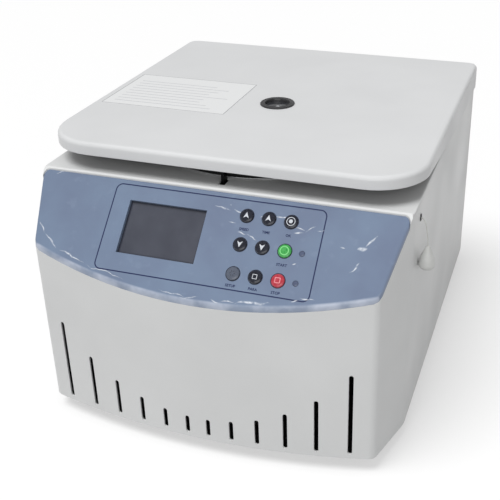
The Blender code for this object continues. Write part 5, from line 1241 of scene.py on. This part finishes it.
# The rotor: a swing-out yoke milled from anodised aluminium, with its four places numbered. A turned steel
# nut holds it on the shaft.
YOKE_TOP = 0.251
NUMBER_CIRCLE = 0.0250
NUMBER_TALL = 0.0062
NUMBER_THICK = 0.00012
NUT_OUTLINE = (
    (0, 0.2670), (0.0092, 0.2670), (0.0100, 0.2665), (0.0110, 0.2652), (0.0152, 0.2600), (0.0158, 0.2590),
    (0.0160, 0.2580), (0.0160, 0.2560), (0.0155, 0.2556), (0.0155, 0.2548), (0.0160, 0.2544),
    (0.0160, 0.2520), (0.0153, 0.2513), (0.0083, 0.2513), (0.0083, 0.2603), (0, 0.2603),
)


def anodised(name, light, middle=ROTOR_AT):
    """Milled or turned aluminium with a satin grey anodised skin."""
    finish = turned_steel(name, light, 0.36, middle)
    finish.set(metallic=0.85, coat_weight=0.15)
    return finish


yoke_numbers = [(str(number), u, v) for number, (u, v) in enumerate(ring_points(NUMBER_CIRCLE, 4), 1)]
number_place = Matrix.Translation((0, ROTOR_AT[1], YOKE_TOP))
refined("rotor_yoke", anodised("yoke_anodised", 176), "aluminium", edge=0.0006)
shown(
    "yoke_numbers", printed_words("yoke_numbers", yoke_numbers, NUMBER_TALL, NUMBER_THICK, number_place),
    blackened_steel("number_etch", 14), "rotor", "aluminium",
)
nut_steel = turned_steel("nut_steel", 206, 0.24)
turned("nut_turned", NUT_OUTLINE, ROTOR_AT, 96, nut_steel, "rotor", "steel", "rotor_nut", smooth=40)


# The four buckets: deep cups turned from aluminium with a grooved collar; each swings on two trunnions in
# the yoke.
BUCKET_CIRCLE = 0.062
TRUNNION_HEIGHT = 0.243
CUP_OUTLINE = (
    (0.0220, 0.0134), (0.0224, 0.0140), (0.0245, 0.0140), (0.0250, 0.0135), (0.0250, 0.0072),
    (0.0247, 0.0069), (0.0247, 0.0055), (0.0250, 0.0052), *arc_points(0.015, -0.068, 0.010, 0, -1, 8),
    (0, -0.078), (0, -0.074), *arc_points(0.018, -0.070, 0.004, -1, 0, 4), (0.0220, 0.0134),
)
TRUNNION_OUTLINE = ((0, 0.0325), (0.0034, 0.0325), (0.0040, 0.0319), (0.0040, 0.0235), (0, 0.0235))


def bucket_mesh(name, place):
    """A cup with its two trunnions."""
    shape = bmesh.new()
    add_turned(shape, CUP_OUTLINE, turns=72)
    for turn in (-math.pi / 2, math.pi / 2):
        pin = bmesh.new()
        add_turned(pin, TRUNNION_OUTLINE, turns=28)
        bmesh.ops.rotate(pin, verts=pin.verts, matrix=Matrix.Rotation(turn, 3, "X"))
        shape.from_mesh(as_mesh(pin, name))
    mesh = mesh_from(shape, name)
    mesh.transform(place)
    return mesh


for index, (x, y) in enumerate(ring_points(BUCKET_CIRCLE, 4)):
    at = (x, ROTOR_AT[1] + y, TRUNNION_HEIGHT)
    place = Matrix.Translation(at) @ Matrix.Rotation(math.pi / 2 * index, 4, "Z")
    cup, bucket = f"cup_{index + 1}", f"bucket_{index + 1}"
    cup_finish = anodised(f"cup_anodised_{index + 1}", 214, at)
    shown(cup, bucket_mesh(cup, place), cup_finish, bucket, "aluminium", bucket, smooth=35)


# The rear panel: folded sheet, painted like the casing, with the fan's grille and five slots, held by four
# screws. The fan behind it has a square frame and seven twisted blades on a hub.
PANEL_SCREWS = [(x, 0.2650, z) for z in (0.034, 0.272) for x in (-0.196, 0.196)]
FAN_SCREWS = [(x, 0.2650, z) for z in (0.0745, 0.1455) for x in (0.0845, 0.1555)]
FAN_PLACE = Matrix.Translation((0.120, 0.2627, 0.110)) @ Matrix.Rotation(math.pi / 2, 4, "X")
HUB_OUTLINE = (
    (0, 0.0016), (0.0150, 0.0016), (0.0157, 0.0019), (0.0160, 0.0027), (0.0160, 0.0204), (0.0154, 0.0211),
    (0, 0.0211),
)
BLADE_MIDDLE = 0.0114
# Radius, chord and pitch of a blade's sections.
BLADE_SECTIONS = (
    (0.0145, 0.0100, 50), (0.0200, 0.0112, 45), (0.0250, 0.0124, 40), (0.0300, 0.0136, 35),
    (0.0350, 0.0144, 31),
)
BLADE_THICK = 0.0014
BLADE_BOW = 0.0011
BLADE_STEPS = 8


def blade_mesh():
    """One blade from the hub to its tip: a bowed section that widens and flattens outwards."""
    shape = bmesh.new()
    rows = []
    for radius, chord, pitch in BLADE_SECTIONS:
        pitch = math.radians(pitch)
        row = []
        for side in (1, -1):
            for step in range(BLADE_STEPS + 1):
                along = (step / BLADE_STEPS - 0.5) * side
                arch = 1 - 4 * along ** 2
                bow = BLADE_BOW * arch + side * BLADE_THICK / 2 * math.sqrt(max(0, arch))
                y, z = along * chord, bow - BLADE_BOW / 2
                row.append(shape.verts.new((
                    radius,
                    y * math.cos(pitch) - z * math.sin(pitch),
                    y * math.sin(pitch) + z * math.cos(pitch) + BLADE_MIDDLE,
                )))
        rows.append(row)
    for inner, outer in zip(rows, rows[1:]):
        add_belt(shape, inner, outer)
    shape.faces.new(rows[0])
    shape.faces.new(rows[-1])
    return mesh_from(shape, "fan_blade")


def fan_wheel(finish):
    """Blades round the hub's axis."""
    pattern = Pattern("fan_blades", blades=7)
    blade = pattern.node("GeometryNodeGeometryToInstance", sockets={"Geometry": pattern.size("Geometry")})
    sockets = {"Geometry": blade, "Amount": pattern.size("blades")}
    copies = pattern.node("GeometryNodeDuplicateElements", {"domain": "INSTANCE"}, sockets)
    number = Value(pattern, copies.socket.node.outputs["Duplicate Index"])
    blades = pattern.spun(copies, number * (2 * math.pi) / pattern.size("blades"))
    shape = bmesh.new()
    shape.from_mesh(pattern.mesh("fan_wheel", blade_mesh(), blades, finish))
    add_turned(shape, HUB_OUTLINE, turns=48)
    mesh = mesh_from(shape, "fan_wheel")
    mesh.transform(FAN_PLACE)
    return mesh


fan_black = black_moulding("fan_moulding", 28, 0.4)
rear_paint = painted_steel("rear_panel_paint", linear(222, 223, 223), 0.42)
refined("rear_panel", rear_paint, "painted_steel", edge=0.0002, flat=0)
screws("rear_panel_screws", PANEL_SCREWS, (0, 1, 0), "root", "steel")
screws("fan_screws", FAN_SCREWS, (0, 1, 0), "root", "steel", radius=0.0028)
refined("fan_frame", fan_black, "black_plastic", edge=0.0006)
wheel = fan_wheel(fan_black)
shown("fan_wheel", wheel, fan_black, "fan_impeller", "black_plastic", "fan_impeller", smooth=45)


# The mains inlet and the power switch in the rear panel: black moulded plastic, nickel contacts, and a
# rocker with the marks I and O in white.
INLET_AT = (-0.165, 0.060)
CONTACT_REACH = (0.0085, 0.0045)
CONTACT_LARGEST = 0.0001
MARK_TALL = 0.0052
MARK_THICK = 0.0001


def face_places(node, toward, count):
    """Places on a node's largest faces that look this way, with their up side up."""
    mesh = merged_copy(node, 1)
    ranked = sorted(mesh.polygons, key=lambda face: -face.area * (face.normal.dot(toward) > 0.9))
    places = []
    for face in ranked[:count]:
        right = Vector((0, 0, 1)).cross(face.normal).normalized()
        turn = Matrix((right, face.normal.cross(right), face.normal)).transposed().to_4x4()
        places.append(Matrix.Translation(face.center) @ turn)
    return sorted(places, key=lambda place: -place.translation.z)


inlet_black = black_moulding("inlet_moulding", 26, 0.36)
inlet = refined("power_inlet", inlet_black, "black_plastic", 0.0004)
inlet.data.materials.append(turned_steel("contact_nickel", 196, 0.25).material)
for face in inlet.data.polygons:
    across, up = abs(face.center.x - INLET_AT[0]), abs(face.center.z - INLET_AT[1])
    if across < CONTACT_REACH[0] and up < CONTACT_REACH[1] and face.area < CONTACT_LARGEST:
        face.material_index = 1
refined("switch_frame", inlet_black, "black_plastic", edge=0.0002, flat=0)
refined("switch_rocker", black_moulding("rocker_gloss", 22, 0.22), "black_plastic", edge=0.0005)
white_mark = print_finish("rocker_white_print", grey(226, -2), grey(196, -2), 900, 0.4, 0.55)
for text, place in zip("IO", face_places("switch_rocker", Vector((0, 1, 0)), 2)):
    mark = printed_words(f"rocker_mark_{text}", [(text, 0, 0)], MARK_TALL, MARK_THICK, place)
    shown(f"rocker_mark_{text}", mark, white_mark, "switch_rocker", "black_plastic")


# The base: a plate of folded, zinc-coated sheet steel that closes the casing below, on four moulded rubber
# feet. Each foot is held by a screw in its recess.
FOOT_PLACES = {
    "front_left": (-0.170, -0.190, 0), "front_right": (0.170, -0.190, 0),
    "rear_left": (-0.170, 0.220, 0), "rear_right": (0.170, 0.220, 0),
}
FOOT_OUTLINE = (
    (0, 0.0177), (0.0160, 0.0177), (0.0165, 0.0172), (0.0150, 0.0055), (0.0146, 0.0025), (0.0140, 0.0009),
    (0.0128, 0.0001), (0.0120, 0), (0.0072, 0), (0.0065, 0.0006), (0.0062, 0.0014), (0.0062, 0.0040),
    (0, 0.0040),
)
FOOT_SCREW = 0.0040

foot_rubber = black_rubber("foot_rubber", 28)
refined("base_plate", zinc_plate("base_zinc", 158, rough=0.42), "steel", edge=0.0004)
for end, at in FOOT_PLACES.items():
    turned(f"foot_turned_{end}", FOOT_OUTLINE, at, 64, foot_rubber, "root", "rubber", f"foot_{end}")
foot_screws = [(x, y, FOOT_SCREW) for x, y, _ in FOOT_PLACES.values()]
screws("foot_screws", foot_screws, (0, 0, -1), "root", "steel", radius=0.0038, height=0.0022)


# The electronics: a control board with the display module behind the panel, and a power board on posts with
# a heat sink and two capacitors. Small parts are strewn over both boards by a tree.
BOARD_REACH = 0.0002
# The most parts on a square metre, and the height of a part's middle as a share of its own height.
MOST_PARTS = 60000.0
PART_LIFT = 0.45
PART_SIZES = {
    "chips": ((0.003, 0.002, 0.0010), (0.009, 0.007, 0.0022)),
    "caps": ((0.0012, 0.0008, 0.0006), (0.0026, 0.0016, 0.0014)),
}


def board_finish(name):
    """Green solder mask over copper: straight tracks that show as raised, paler lines, and drilled pads."""
    finish = Finish(name, ior=1.5, coat_weight=0.3)
    place = finish.place()
    sockets = {"Vector": place, "Scale": 90, "Mortar Size": 0.06, "Mortar Smooth": 0.1}
    bricks = finish.node("ShaderNodeTexBrick", sockets=sockets, output="Fac")
    pads = finish.node("ShaderNodeTexVoronoi", {"feature": "F1"}, {"Scale": 220, "Vector": place}, "Distance")
    dot = finish.range(pads, 0.12, 0.2, 1, 0)
    mask = finish.mix(bricks, linear(18, 84, 44), linear(40, 118, 66))
    finish.set(
        base_color=finish.mix(dot * 0.8, mask, linear(178, 172, 150)),
        roughness=finish.spread(finish.noise(60, 3), 0.3, 0.45),
        metallic=dot * 0.6,
        normal=finish.bump(bricks, 0.00004),
    )
    return finish


def board_side(node, toward):
    """The plain side of a board: its faces that look this way, in the plane of the largest."""
    mesh = merged_copy(node)
    flat = [face for face in mesh.polygons if face.normal.dot(toward) > 0.99]
    largest = max(flat, key=lambda face: face.area)
    shape = bmesh.new()
    for face in flat:
        if abs((face.center - largest.center).dot(largest.normal)) < BOARD_REACH:
            shape.faces.new([shape.verts.new(mesh.vertices[corner].co) for corner in face.vertices])
    return as_mesh(shape, f"{node}_side")


def strewn(name, side, kind, apart, seed, finish):
    """Small square parts over a board's side, each of its own size and turned by quarters."""
    low, high = PART_SIZES[kind]
    pattern = Pattern(name, apart=apart, smallest=low, largest=high, seed=seed)
    sockets = {
        "Mesh": pattern.size("Geometry"), "Distance Min": pattern.size("apart"), "Density Max": MOST_PARTS,
        "Seed": pattern.size("seed"),
    }
    settings = {"distribute_method": "POISSON"}
    points = pattern.node("GeometryNodeDistributePointsOnFaces", settings, sockets)
    turn = Value(pattern, points.socket.node.outputs["Rotation"])
    sockets = {0: pattern.size("smallest"), 1: pattern.size("largest"), "Seed": pattern.size("seed")}
    size = pattern.node("FunctionNodeRandomValue", {"data_type": "FLOAT_VECTOR"}, sockets)
    part = pattern.box((1, 1, 1), (0, 0, PART_LIFT))
    parts = pattern.scattered(part, points, Rotation=turn, Scale=size)
    sockets = {4: 0, 5: 3, "Seed": seed + 1}
    quarter = pattern.node("FunctionNodeRandomValue", {"data_type": "INT"}, sockets, 2)
    parts = pattern.spun(parts, quarter * (math.pi / 2))
    return shown(name, pattern.mesh(name, side, parts, finish), None, "root", "board")


board_green = board_finish("board_solder_mask")
chip_black = black_moulding("chip_epoxy", 24, 0.5)
ceramic = zinc_plate("part_ends", 150, warm=40, rough=0.4)
for node in ("control_board", "power_board"):
    refined(node, board_green, "board", edge=0.0002)
refined("display_module", black_moulding("display_back", 34, 0.5), "black_plastic", edge=0.0004)
inward = (PANEL_PLACE.to_3x3() @ Vector((0, 0, -1))).normalized()
for node, toward in (("control_board", inward), ("power_board", Vector((0, 0, 1)))):
    strewn(f"{node}_chips", board_side(node, toward), "chips", 0.014, 3, chip_black)
    strewn(f"{node}_caps", board_side(node, toward), "caps", 0.005, 5, ceramic)
